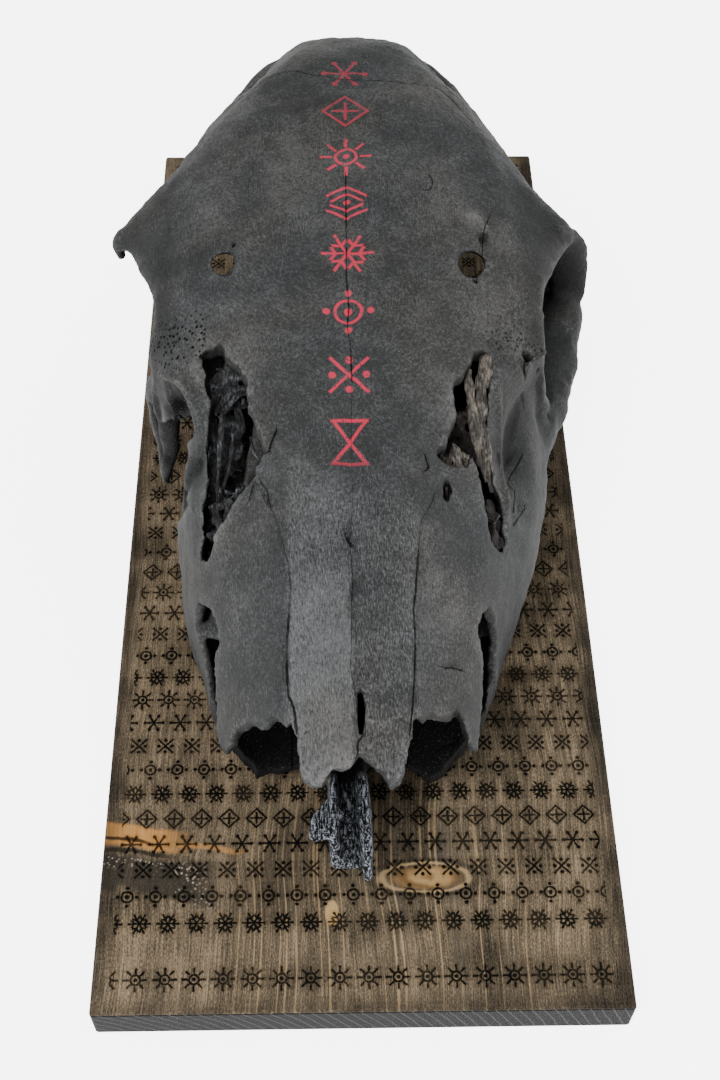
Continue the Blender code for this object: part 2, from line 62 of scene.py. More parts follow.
def toSkull(points):
    points = np.array(points, float) / mm
    lean = np.clip((points[..., 1] - skullPlace["rearFrom"]) / skullPlace["rearOver"], 0, 1)
    points[..., 0] -= skullPlace["shift"] + lean * skullPlace["rearShift"]
    points[..., 2] -= skullPlace["boardTop"]
    return points


def deselectAll():
    if bpy.context.object and bpy.context.object.mode != "OBJECT":
        bpy.ops.object.mode_set(mode="OBJECT")
    bpy.ops.object.select_all(action="DESELECT")


def activate(item):
    deselectAll()
    item.select_set(True)
    bpy.context.view_layer.objects.active = item


def takeNew(name):
    item = bpy.context.object
    item.name = item.data.name = name
    return item


def readAll(things, key, width, kind=float):
    # One row of numbers for each vertex or edge.
    values = np.empty(len(things) * width, kind)
    things.foreach_get(key, values)
    return values.reshape(-1, width)


def getPlaces(item):
    return readAll(item.data.vertices, "co", 3)


def getNormals(item):
    return readAll(item.data.vertex_normals, "vector", 3)


def getEdges(item):
    return readAll(item.data.edges, "vertices", 2, int)


def setPlaces(item, places):
    item.data.vertices.foreach_set("co", np.asarray(places, float).ravel())
    item.data.update()


def normalsOut(item):
    activate(item)
    bpy.ops.object.mode_set(mode="EDIT")
    bpy.ops.mesh.select_all(action="SELECT")
    bpy.ops.mesh.normals_make_consistent(inside=False)
    bpy.ops.object.mode_set(mode="OBJECT")


def deleteChosen(item, kind, chosen):
    # Deletes the vertices or faces that chosen says True for.
    activate(item)
    bpy.ops.object.mode_set(mode="EDIT")
    bpy.ops.mesh.select_mode(type=kind)
    bpy.ops.mesh.select_all(action="DESELECT")
    bpy.ops.object.mode_set(mode="OBJECT")
    things = item.data.vertices if kind == "VERT" else item.data.polygons
    things.foreach_set("select", chosen)
    bpy.ops.object.mode_set(mode="EDIT")
    bpy.ops.mesh.delete(type=kind)
    bpy.ops.object.mode_set(mode="OBJECT")


def modify(item, kind, **settings):
    # Adds a modifier with its settings and applies it.
    activate(item)
    step = item.modifiers.new(kind.lower(), kind)
    for key, value in settings.items():
        setattr(step, key, value)
    bpy.ops.object.modifier_apply(modifier=step.name)


def joinAll(items, name):
    deselectAll()
    for item in items:
        item.select_set(True)
    bpy.context.view_layer.objects.active = items[0]
    bpy.ops.object.join()
    return takeNew(name)


def splineThrough(points, samples, closed=False, knots=None):
    # A smooth curve through every point, with the given number of samples a span.
    p = np.asarray(points, float)
    count = len(p)
    if knots is None:
        loop = np.concatenate([p, p[:1]])
        gaps = np.sqrt(np.linalg.norm(np.diff(loop, axis=0), axis=1))
    else:
        gaps = np.diff(np.append(knots, knots[-1] + 1.0))
    if closed:
        p = np.concatenate([p[-1:], p, p[:2]])
        gaps = np.concatenate([gaps[-1:], gaps, gaps[:1]])
    else:
        gaps = gaps[:count - 1]
        p = np.concatenate([2 * p[:1] - p[1:2], p, 2 * p[-1:] - p[-2:-1]])
        gaps = np.concatenate([gaps[:1], gaps, gaps[-1:]])
    result = []
    for i in range(1, len(p) - 2):
        before, here, after = gaps[i - 1], gaps[i], gaps[i + 1]
        step = (p[i + 1] - p[i]) / here
        start = (p[i] - p[i - 1]) / before - (p[i + 1] - p[i - 1]) / (before + here) + step
        end = step - (p[i + 2] - p[i]) / (here + after) + (p[i + 2] - p[i + 1]) / after
        for k in range(samples):
            t = k / samples
            result.append(
                (2 * t ** 3 - 3 * t ** 2 + 1) * p[i]
                + (t ** 3 - 2 * t ** 2 + t) * here * start
                + (3 * t ** 2 - 2 * t ** 3) * p[i + 1]
                + (t ** 3 - t ** 2) * here * end
            )
    if not closed:
        result.append(p[-2])
    return np.array(result)


def loft(name, rings):
    # A sphere is added with a ring of vertices for each section, and every ring is moved to its section.
    rings = np.asarray(rings, float)
    count, sides = rings.shape[:2]
    deselectAll()
    bpy.ops.mesh.primitive_uv_sphere_add(segments=sides, ring_count=count + 1, radius=1)
    item = takeNew(name)
    ball = getPlaces(item)
    ring = np.rint(np.arccos(np.clip(ball[:, 2], -1, 1)) / math.pi * (count + 1)).astype(int) - 1
    turn = np.rint(np.arctan2(ball[:, 1], ball[:, 0]) / math.tau * sides).astype(int) % sides
    places = rings[np.clip(ring, 0, count - 1), turn]
    places[ring < 0] = rings[0].mean(0)
    places[ring >= count] = rings[-1].mean(0)
    setPlaces(item, toWorld(places))
    normalsOut(item)
    return item


def loftStations(name, stations, perSpan, alongSpan):
    rings = []
    for y, top, half, bottom in stations:
        outline = [(0, top)] + list(half) + [(0, bottom)] + [(-x, z) for x, z in reversed(half)]
        ring = splineThrough(outline, perSpan, True)
        rings.append([(x, y, z) for x, z in ring])
    places = [station[0] for station in stations]
    return loft(name, splineThrough(rings, alongSpan, False, places))


def sweep(name, path, sizes, up="up", sides=16, samples=6, lumps=0.0):
    # An elliptical bar along a smooth path: half width across, half height towards up.
    points = splineThrough(path, samples)
    widths = splineThrough(sizes, samples, False, list(range(len(sizes))))
    upwards = {"up": (0, 0, 1), "out": (1, 0, 0), "back": (0, 1, 0)}[up]
    rings = []
    for i, point in enumerate(points):
        along = Vector(points[min(i + 1, len(points) - 1)] - points[max(i - 1, 0)]).normalized()
        across = along.cross(Vector(upwards)).normalized()
        rise = across.cross(along)
        half, tall = np.maximum(widths[i], 0.3)
        ring = []
        for k in range(sides):
            turn = math.tau * k / sides
            spot = Vector(point) + across * half * math.cos(turn) + rise * tall * math.sin(turn)
            if lumps:
                swell = 1 + lumps * noise.noise(spot * 0.16) + 0.5 * lumps * noise.noise(spot * 0.41)
                spot = Vector(point) + (spot - Vector(point)) * swell
            ring.append(tuple(spot))
        rings.append(ring)
    return loft(name, rings)


def drift(spot):
    # Three even noises that give a small push, the same at every run.
    shifts = ((0, 0, 0), (31.7, 5.3, 0), (9.1, 47.3, 2.9))
    return Vector([noise.noise(spot + Vector(shift)) for shift in shifts])


def roughen(outline, size=0.5, step=1.3, seed=0.0):
    # A broken edge: the outline gets more points, each moved a little.
    loop = np.array(list(outline) + [outline[0]], float)
    result = []
    for here, there in zip(loop[:-1], loop[1:]):
        count = max(1, int(np.linalg.norm(there - here) / step))
        for k in range(count):
            point = here + (there - here) * k / count
            spot = Vector((point[0], point[1], seed))
            push = (drift(spot * 0.9) + drift(spot * 0.27)) * size
            result.append((point[0] + push.x, point[1] + push.y))
    return result


def raiseOutline(item, vector=None, apex=None, scale=None):
    # The flat outline is extruded to a closed column, straight or widening away from an apex.
    activate(item)
    bpy.ops.object.mode_set(mode="EDIT")
    bpy.ops.mesh.select_all(action="SELECT")
    bpy.ops.mesh.extrude_region_move(TRANSFORM_OT_translate={"value": vector or (0, 0, 0)})
    if apex is not None:
        bpy.ops.transform.resize(value=(scale, scale, scale), center_override=apex)
    bpy.ops.object.mode_set(mode="OBJECT")
    normalsOut(item)
    return item


def oval(x, y, wide, long, count):
    turns = [math.tau * k / count for k in range(count)]
    return [(x + wide * math.cos(turn), y + long * math.sin(turn)) for turn in turns]


def boxy(wave, power):
    # A sine or cosine that draws a circle nearer to a square.
    return math.copysign(abs(wave) ** power, wave)


def flatOutline(name, points):
    deselectAll()
    bpy.ops.mesh.primitive_circle_add(vertices=len(points), radius=1, fill_type="NGON")
    item = takeNew(name)
    setPlaces(item, toWorld(points))
    return item


def column(name, outline, low, high):
    base = flatOutline(name, [(x, y, low) for x, y in outline])
    return raiseOutline(base, vector=(0, 0, (high - low) * mm))


def slopedColumn(name, outline, level, low, high, apex):
    apexX, apexY, apexZ = apex
    spread = (low - apexZ) / (level - apexZ)
    ring = [(apexX + (x - apexX) * spread, apexY + (y - apexY) * spread, low) for x, y in outline]
    base = flatOutline(name, ring)
    return raiseOutline(base, apex=tuple(toWorld([apex])[0]), scale=(high - apexZ) / (low - apexZ))


def sideColumn(name, outline, near, far):
    base = flatOutline(name, [(near, y, z) for y, z in outline])
    return raiseOutline(base, vector=((far - near) * mm, 0, 0))


def cutAway(item, cutters):
    for cutter in cutters:
        modify(item, "BOOLEAN", operation="DIFFERENCE", solver="EXACT", object=cutter)
        bpy.data.objects.remove(cutter)


skullForm = {
    "voxel": 0.74,
    "triangles": 190000,
    "edgeHeight": 46,
    "aboveSkull": 140, "belowSkull": -20, "pastNose": -230, "pastSide": 70, "pastCheek": 98, "insideJaw": 33,
    "middleHeight": 62.0, "frontWaver": 3.0, "frontWaverSize": 6.0, "toothSwell": 1.1,
    # Openings cut down from above: name of the outline, roughness, step, seed, how far down
    "openings": (("leftFaceGap", 1.1, 0.8, 3.0, 62), ("rightFaceGap", 0.8, 0.8, 4.0, 60),
                 ("rightFaceSlit", 0.4, 1.0, 5.0, 88), ("nasalSlit", 0.25, 1.0, 12.0, 74)),
    "leftCheekLevel": 60, "leftCheekSpan": (24, 96), "leftJawLoss": 9.5,
    "browHoleLevel": 118.5, "browHoleFloor": 84, "throatSpan": (10, 62),
    "apex": (-5.6, -386, 499),    # the point that the sloping openings spread from
    # Outer form. Each station: y, height at the middle, outline points from the top round
    # the side to the underside, height of the underside at the middle.
    "stations": (
        (-186, 77.5, ((9, 77.5), (16, 75), (23, 67), (30, 56), (34, 44),
         (36, 32), (36, 25), (34, 19), (30, 15), (22, 16)), 17),
        (-147, 87.5, ((10, 87.5), (18, 84.5), (28, 75.5), (37, 64), (43, 49),
         (43, 36), (41, 27), (38, 19), (33, 15), (24, 16)), 17),
        (-125, 93, ((11, 93), (19, 90), (30, 81), (41, 68), (48, 52),
         (49, 38), (48, 27), (46, 18), (41, 14), (32, 17)), 18),
        (-98, 100, ((11, 100), (20, 97), (33, 88), (46, 74), (53, 56),
         (55.5, 40), (56, 28), (55, 19), (49, 14), (38, 18)), 24),
        (-75, 106, ((12, 106), (22, 103), (38, 92), (52, 76), (60, 58),
         (64.5, 42), (65, 30), (62, 20), (54, 14), (40, 17)), 28),
        (-60, 110, ((13, 110), (24, 106.5), (40, 96), (53, 82), (64, 61),
         (69.5, 43), (70, 31), (64, 20), (55.5, 14), (41, 17)), 29),
        (-44, 114, ((16, 113.5), (30, 109), (52, 94), (57, 79), (68, 62),
         (74, 44), (73, 31), (64.5, 20), (55.5, 14), (41, 17)), 30),
        (-25, 118, ((20, 117), (38, 111.5), (58, 101), (62, 84), (71, 65),
         (76.5, 46), (75, 33), (64.5, 20), (55.5, 14), (40, 17)), 31),
        (-12, 120.5, ((24, 119), (46, 112), (69, 97), (70, 85), (71, 68),
         (76.5, 49), (74, 35), (64.5, 20), (55.5, 14), (40, 17)), 31),
        (-5, 121.5, ((25, 120), (48, 113), (72, 96), (73, 86), (72, 70),
         (76, 51), (72, 37), (64.5, 20), (55.5, 14), (40, 17)), 31),
        (1, 122.5, ((26, 121), (50, 114), (72, 99), (69.5, 93), (47, 104),
         (43, 76), (62, 40), (64.5, 22), (55.5, 14), (40, 17)), 31),
        (9, 123.5, ((28, 122), (52, 115), (71.5, 102.5), (68.5, 97.5), (44, 107.5),
         (34, 78), (54, 41), (63, 23), (55, 14.2), (39, 18)), 32),
        (20, 124.5, ((29, 123), (54, 115.5), (74, 103), (70.5, 98), (43, 108.5),
         (31, 80), (38, 47), (60, 27), (54, 16), (40, 19)), 38),
        (33, 125.5, ((31, 124), (57, 116), (79.5, 100.5), (75, 95.5), (44, 108),
         (30, 83), (27, 56), (34, 43), (30, 36), (18, 37)), 42),
        (45, 126, ((33, 124), (60, 115), (84.5, 98), (80, 93), (46, 107),
         (31, 84), (28, 60), (26, 47), (20, 40), (10, 40)), 41),
        (54, 126.5, ((34, 124), (61, 115), (89, 96.5), (84, 91.5), (48, 105),
         (34, 84), (30, 60), (26, 46), (20, 39), (10, 39)), 40),
        (61, 126.5, ((34, 124), (60, 115.5), (83, 100), (78, 94), (50, 103),
         (38, 84), (33, 62), (28, 46), (20, 38), (10, 38)), 38),
        (76, 127, ((33, 125), (55, 117), (73, 101.5), (67, 94), (53, 95),
         (46, 78), (43, 58), (34, 43), (22, 35), (10, 34)), 34),
        (90, 127, ((32, 125), (52, 117), (67, 100.5), (62, 92), (54, 85),
         (50, 71), (46, 54), (36, 41), (22, 33), (10, 32)), 32),
        (102, 126.5, ((30, 124.5), (48, 116), (62, 98.5), (58, 89), (53, 79),
         (51, 66), (47, 50), (37, 39), (22, 32), (10, 31)), 31),
        (117, 125.5, ((27, 123), (44, 113.5), (57.5, 95.5), (56, 86), (51, 75),
         (50, 62), (47, 47), (38, 37), (22, 30), (10, 30)), 30),
        (128, 123.5, ((24, 121.5), (39, 111), (51.5, 92.5), (52, 83), (51, 71),
         (50, 58), (47, 45), (38, 35), (22, 29), (10, 29)), 29),
        (142, 119.5, ((21, 117.5), (34, 107), (45.5, 92), (49, 80), (50, 67),
         (50, 55), (47, 43), (38, 33), (22, 28), (10, 28)), 28),
        (155, 114, ((19, 112), (30, 103), (40, 88), (47, 76), (50, 64),
         (50, 52), (48, 41), (38, 32), (22, 28), (10, 28)), 28),
        (166, 105, ((16, 103.5), (27, 96), (36, 84), (42, 72), (47, 60),
         (48, 49), (46, 39), (36, 32), (20, 28), (10, 28)), 28),
        (175, 90, ((12, 89), (20, 84), (28, 75), (34, 66), (38, 55),
         (38, 46), (36, 38), (28, 32), (16, 30), (8, 30)), 30),
    ),
    "hollow": (
        (-205, 68, ((12, 67.5), (24, 58), (32, 45), (35, 33), (33, 23)), 20),
        (-147, 84, ((15, 82), (29, 69), (38.5, 52), (40.5, 38), (37, 23)), 21),
        (-125, 89.5, ((16, 87), (32, 74), (43, 55), (46, 40), (42, 24)), 22),
        (-98, 96.5, ((17, 93.5), (36, 80), (48.5, 60), (51.5, 46), (42, 34)), 28),
        (-75, 102.5, ((19, 99.5), (42, 83.5), (54, 65), (56, 50), (42, 38)), 30),
        (-44, 110, ((24, 107), (48, 91), (58, 74), (66, 54), (43, 42)), 32),
        (-25, 113.5, ((32, 108.5), (54, 97), (62, 76), (67, 54), (42, 44)), 34),
        (-15, 114, ((34, 108), (58, 95), (62, 78), (56, 58), (40, 46)), 36),
        (-7, 112, ((28, 107), (42, 97), (48, 82), (42, 62), (30, 50)), 42),
        (2, 109, ((20, 105), (30, 97), (32, 82), (28, 64), (20, 54)), 46),
        (12, 101, ((12, 99), (20, 92), (22, 82), (18, 70), (10, 62)), 58),
    ),
    "upperEdge": (
        (-62, -116), (-52, -121), (-47.5, -128), (-46, -138), (-42.5, -146), (-38.8, -145),
        (-34.5, -145), (-29, -148), (-24, -150), (-20.2, -152), (-19.4, -148.3), (-17.8, -157),
        (-16.3, -166.5), (-15.9, -170.5), (-13.1, -174), (-9.7, -174), (-7.2, -170), (-3.2, -168),
        (2.4, -166), (6.4, -168.7), (8.8, -172), (11, -174.5), (14.1, -173), (15.9, -166.5),
        (17.3, -161), (18.8, -154.5), (19.3, -147), (20, -150.8), (25, -149.2), (30, -147.3),
        (34.8, -141.2), (37, -146), (37.8, -150.2), (41.4, -148.4), (45, -140), (48, -128), (60, -112),
    ),
    "lowerEdge": (
        (-64, -112), (-54, -118), (-49, -122), (-44, -127), (-39, -132), (-33.5, -139), (-28, -137),
        (-18, -136), (18, -136), (27, -142), (33, -139), (39, -131), (44, -125), (50, -117), (60, -108),
    ),
    "leftFaceGap": (
        (-53.1, -18.6), (-50.8, -17.6), (-48.1, -18), (-45.6, -17.2), (-43.5, -20.4), (-41.6, -24.3),
        (-39.9, -25.2), (-38, -28.6), (-36.2, -31.4), (-34.8, -38.1), (-33.4, -44.7), (-31.6, -50.4),
        (-29.8, -56.2), (-29.1, -59.9), (-32.4, -63.6), (-33.2, -67.5), (-35.9, -68.8), (-40.3, -71.5),
        (-43, -74.9), (-45.8, -77.2), (-47.6, -79.3), (-48.5, -84.3), (-51, -84.2), (-52, -81.3),
        (-52, -70.4), (-51.1, -65.6), (-49.7, -59), (-50.3, -49.3), (-49.5, -44.5), (-49.2, -37.1),
        (-49.8, -29), (-51.2, -22.2),
    ),
    "rightFaceGap": (
        (44.2, -21.2), (47, -18.9), (50.7, -19.7), (51.1, -24.7), (49.7, -32), (48.4, -41.9), (47.7, -47.4),
        (47.7, -51), (49.6, -59.9), (51.9, -64.9), (53.8, -68.1), (54.6, -75), (53.2, -80.6), (49.6, -80.6),
        (47.6, -73), (46, -66.4), (43.9, -60.1), (42.6, -56.4), (40.4, -60.5), (37, -62.5), (33.4, -62.8),
        (30.3, -61.5), (29.5, -60.2), (32.6, -57.2), (33.6, -54.3), (35.1, -49.6), (37, -44.7), (35.8, -40.9),
        (35.9, -37.4), (37, -32.6), (39.3, -31.5), (41.2, -27.8), (43.1, -25.4),
    ),
    "rightFaceSlit": (
        (32.2, -68.6), (33.6, -68), (34.4, -71), (33.9, -74.5), (33, -76.8), (31.9, -75.8), (31.9, -72),
    ),
    "leftCheekLoss": (
        (-69.2, -10), (-68.6, -6.2), (-67.4, -8.8), (-66.4, -3.4), (-65.4, -6.8), (-64.4, -4.0),
        (-63.6, -9.0), (-62.6, -2.8), (-61.8, -4.4), (-60.8, -7.8), (-60, -2.6), (-59.2, -5.2),
        (-58.1, -11.1), (-58.2, -17.1), (-61.1, -20), (-60.4, -25.9), (-58.4, -29.8), (-58.1, -34.6),
        (-58.8, -42.7), (-58.5, -49.7), (-60.6, -55.5), (-62.6, -59.5), (-66, -61.5), (-92, -63), (-92, -10),
    ),
    # Height, innermost x, front y, back y
    "leftSocketLoss": ((27, -68, -16, 6), (30, -62.5, -24, 12), (36, -58.5, -29, 15.5), (46, -56.5, -32, 17),
                       (56, -56.5, -31.5, 17), (63, -57.5, -29, 16)),
    "leftJawGap": (
        (-93, 60), (-99, 66), (-106, 68), (-113, 66), (-119, 60), (-130, 55), (-135, 49), (-124, 42),
        (-107, 45), (-97, 51),
    ),
    "rightJawGap": (
        (-100, 66), (-105, 70), (-112, 70), (-117, 64), (-130, 58), (-152, 52), (-151, 45), (-130, 44),
        (-114, 48), (-104, 55),
    ),
    "nasalSlit": (
        (1.3, -144.6), (2.9, -145.2), (3.7, -150), (3.4, -156.5), (2.7, -160.4), (1.7, -158.4), (1.2, -152),
    ),
    "browHoles": ((-45, 15.5, 4.5, 6.2), (45.3, 15.0, 5.0, 6.9)),
    "spineHolePath": ((0, 130, 56), (0, 160, 50), (0, 195, 46)),
    "spineHoleSizes": ((14, 13), (14, 13), (15, 13)),
    "throat": ((-13, -6), (13, -6), (15, 22), (13, 44), (-13, 44), (-15, 22)),
    "bars": (
        ("rightArch",
         ((69, -26, 46), (73, -10, 46), (77, 6, 46), (80, 22, 47), (82.5, 38, 51), (87.5, 54, 56),
          (88, 68, 56), (83, 82, 52), (70, 96, 50), (46, 108, 54)),
         ((5, 12), (7, 11), (9, 9.5), (12, 8.5), (13, 8), (10, 8),
          (5, 7), (3.5, 6), (6, 6), (10, 9)), "up"),
        ("rightEyeBar",
         ((89, 53, 56), (90.5, 57, 66), (89, 58, 78), (85, 56, 90), (77, 48, 100)),
         ((7, 5), (7.5, 3.4), (8, 3), (8, 3.2), (8, 3.4)), "back"),
        ("rightEyeRim",
         ((68.5, -4, 97), (71, -6, 87), (72.5, -7, 76), (74.5, -4, 63), (77, 2, 52)),
         ((3, 2.2), (3, 2.2), (3, 2.2), (3.2, 2.4), (3.6, 3.2)), "out"),
        ("leftBrowTip",
         ((-76, 51, 100), (-83, 52, 98.5), (-88.5, 53, 94), (-88.5, 52.5, 87)),
         ((8, 3), (6, 3), (4, 2.6), (2, 1.4)), "out"),
        ("leftEyeRim",
         ((-68, -11, 95), (-69.5, -7, 86), (-71, -4, 77), (-73, 0, 68)),
         ((3.6, 2.4), (5, 2.8), (6.5, 3), (6, 3.4)), "out"),
        ("leftCheekFinger",
         ((-70, -3, 78), (-73.5, 1, 68), (-74, 0, 57), (-73, -7, 45), (-72, -16, 32)),
         ((6.4, 3), (6.4, 3.2), (5.4, 3), (3.8, 2.6), (1.6, 1.5)), "out"),
        ("leftArchStump",
         ((-46, 108, 54), (-66, 100, 51), (-77, 93, 51)),
         ((10, 9), (7, 6), (3.5, 4.5)), "up"),
        ("crest",
         ((55, 143, 56), (54.5, 147, 68), (50.8, 152, 79), (43.5, 159, 84.5), (33, 166.3, 89.5),
          (18, 171.2, 93.5), (0, 172.8, 95.2), (-18, 171.2, 93.5), (-33, 166.3, 89.5), (-43.5, 159, 84.5),
          (-50.8, 152, 79), (-54.5, 147, 68), (-55, 143, 56)),
         ((1.6, 3.0), (1.7, 2.8), (2.0, 2.8), (2.4, 3.0), (2.6, 3.2),
          (2.8, 3.4), (3.2, 3.8), (2.8, 3.4), (2.6, 3.2), (2.4, 3.0),
          (2.0, 2.8), (1.7, 2.8), (1.6, 3.0)), "back"),
        ("skullBase",
         ((0, 24, 44), (0, 60, 42), (0, 100, 36), (0, 140, 34), (0, 176, 36)),
         ((12, 6), (14, 7), (18, 7), (22, 7), (17, 6)), "up"),
        # Ploughshare bone: a thin upright plate with a troughed prong out of the nose
        ("septum",
         ((0, -140, 35), (0, -126, 40), (0, -90, 48), (0, -50, 58), (0, -10, 70), (0, 10, 74)),
         ((1.6, 8), (1.6, 17), (1.6, 23), (1.6, 27), (1.8, 30), (2, 26)), "up"),
        ("prongLeftWall",
         ((-4.5, -120, 26), (-6.3, -140, 28), (-6.6, -156, 30), (-6.4, -168, 27), (-5.2, -176, 22)),
         ((2, 5), (2, 6), (2.0, 7), (2.0, 6), (2.4, 1.8)), "up"),
        ("prongRightWall",
         ((4.5, -120, 26), (2.8, -140, 28), (3.6, -156, 31), (4.4, -169, 28), (5, -181, 22)),
         ((2, 5), (2.2, 6), (2.4, 7), (2.2, 6), (1.4, 1.8)), "up"),
        ("prongFloor",
         ((0, -118, 23), (-1.4, -146, 25.5), (-1.6, -164, 25.5), (-1.6, -176, 21)),
         ((6, 2.4), (6.4, 3.4), (6.2, 4.2), (4.6, 2.4)), "up"),
        ("prongFlange",
         ((-6, -158, 32), (-10, -165, 32), (-14, -170, 31)),
         ((4, 1.6), (5, 1.6), (1.6, 1)), "up"),
    ),
    "pairedBars": (
        ("earBone",
         ((40, 136, 44), (52, 141, 50), (55, 144, 58)),
         ((9, 9), (7, 8), (3, 5)), "up"),
        ("jugularProcess",
         ((42, 156, 44), (46, 158, 30), (45, 155, 15), (43, 151, 3)),
         ((10, 6), (8, 4), (5, 3), (2.5, 2)), "back"),
        ("palateWing",
         ((19, 10, 34), (18, 28, 30), (18, 48, 31), (19, 66, 38)),
         ((2, 14), (2, 14), (2, 11), (2.5, 6)), "up"),
        # Scrolls inside the nose, carried by its side walls
        ("scroll",
         ((40, -104, 50), (33, -80, 58), (28, -50, 68), (24, -20, 78), (20, 2, 82)),
         ((14, 2), (12, 4), (11, 6), (10, 8), (10, 8)), "up"),
    ),
    "knobs": (
        ("condyle", (17, 179, 37), (10, 9, 16), 20),
        ("earCapsule", (30, 118, 28), (9, 16, 10), 12),
    ),
}

# Small broken pieces and rims that only the finished surface shows: name, path, sizes, way up
skullTrims = (
    ("leftFingerPlate",
     ((-69.4, -6, 78), (-68.6, -8, 73), (-68.3, -10, 62), (-69.3, -13, 47), (-71, -15, 37),
      (-71.8, -16, 30.5)),
     ((5.2, 1.7), (5.4, 1.7), (4.6, 1.7), (3.4, 1.6), (2.2, 1.3), (0.8, 0.8)), "back"),
    ("leftCupArch",
     ((-70, -12, 90.5), (-66.4, -16.6, 95), (-61.6, -21, 98), (-57.0, -28, 100), (-53.8, -36.5, 97.6),
      (-53.2, -44, 92), (-53.6, -50, 87)),
     ((2.0, 1.6), (2.6, 1.7), (3.0, 1.8), (2.8, 1.8), (2.3, 1.8), (1.9, 1.6), (1.2, 1.2)), "up"),
    ("leftCupCrumb",
     ((-65.4, -17, 86), (-64.6, -21.5, 81.5), (-64.2, -24.6, 77.4)),
     ((2.4, 1.8), (2.0, 1.6), (0.7, 0.7)), "out"),
    ("leftCupCrumbInner",
     ((-60.8, -17, 86), (-60.4, -21.5, 81.2), (-60.8, -24.0, 78.6)),
     ((2.6, 2.0), (2.2, 1.9), (0.8, 0.8)), "out"),
    ("leftSpur",
     ((-54, -46, 88), (-57.5, -50, 80), (-58.5, -52, 72)), ((2, 1.6), (1.8, 1.4), (0.8, 0.8)), "up"),
    ("rightHook",
     ((65.5, -8, 99), (69, -8.6, 97), (72.6, -8.4, 96.4)), ((2.6, 2.4), (2.2, 1.9), (1.0, 1.0)), "up"),
    ("rightCheekRidge",
     ((51.6, -20.5, 106), (53.4, -30.7, 101), (53.6, -37, 96.2), (54.0, -44, 88.6), (54.4, -51, 82),
      (54.8, -60, 79.2), (55.6, -68, 74), (56.0, -74.7, 68.4), (54.6, -81.5, 66)),
     ((1.0, 1.4), (1.3, 2.0), (1.3, 2.0), (1.3, 2.0), (1.3, 2.0), (1.3, 1.9), (1.2, 1.7), (1.1, 1.6),
      (0.8, 1.0)), "up"),
    ("rightBrowLump",
     ((45.3, 40.5, 119.6), (47.6, 37.2, 119.6), (50, 33, 118.6), (51.4, 29.8, 117.4)),
     ((1.6, 1.6), (2.6, 2.4), (2.8, 2.6), (1.8, 1.6)), "up"),
)

# Round holes through the surface: x, y, height there, radius, depth below
smallHoles = (
    (46.6, 8.3, 118, 1.2, 9), (50.1, 29.6, 117, 1.3, 9), (-41.9, 24.1, 119, 1.1, 6),
    (-44.1, 20.7, 118, 0.9, 5), (-66.2, -18.7, 95, 1.6, 10), (64.3, -13.7, 99.5, 1.6, 10),
    (33.4, -71.5, 101, 1.5, 9), (32.9, -74, 100, 1.1, 9),
)

# Small pits, carved in and painted dark as shade: centre, radius, depth
pits = (
    ((-61.6, -22.6, 82), 6.2, 0.5), ((-58.4, -22, 85.5), 5.0, 0.5), ((-65, -22, 80), 3.0, 0.5),
    ((-71.6, -14.5, 44), 3.6, 0.3), ((-68.6, -9.5, 66), 3.0, 0.4), ((50.6, 28.6, 117.8), 1.6, 1.8),
    ((-66.4, -17.6, 94.5), 1.5, 2.6), ((-64.6, -16.6, 96), 1.0, 1.4), ((33.4, -71.5, 101), 1.3, 1.0),
    ((-60.5, -25.5, 92), 2.4, 1.2), ((-57.2, -31.5, 95), 1.7, 1.6), ((-63.6, -22.6, 85.5), 1.6, 1.6),
    ((64.9, -14.6, 100.3), 0.9, 1.6), ((70.5, -11.5, 90), 1.1, 1.2), ((67.4, -22, 86), 0.9, 0.8),
)

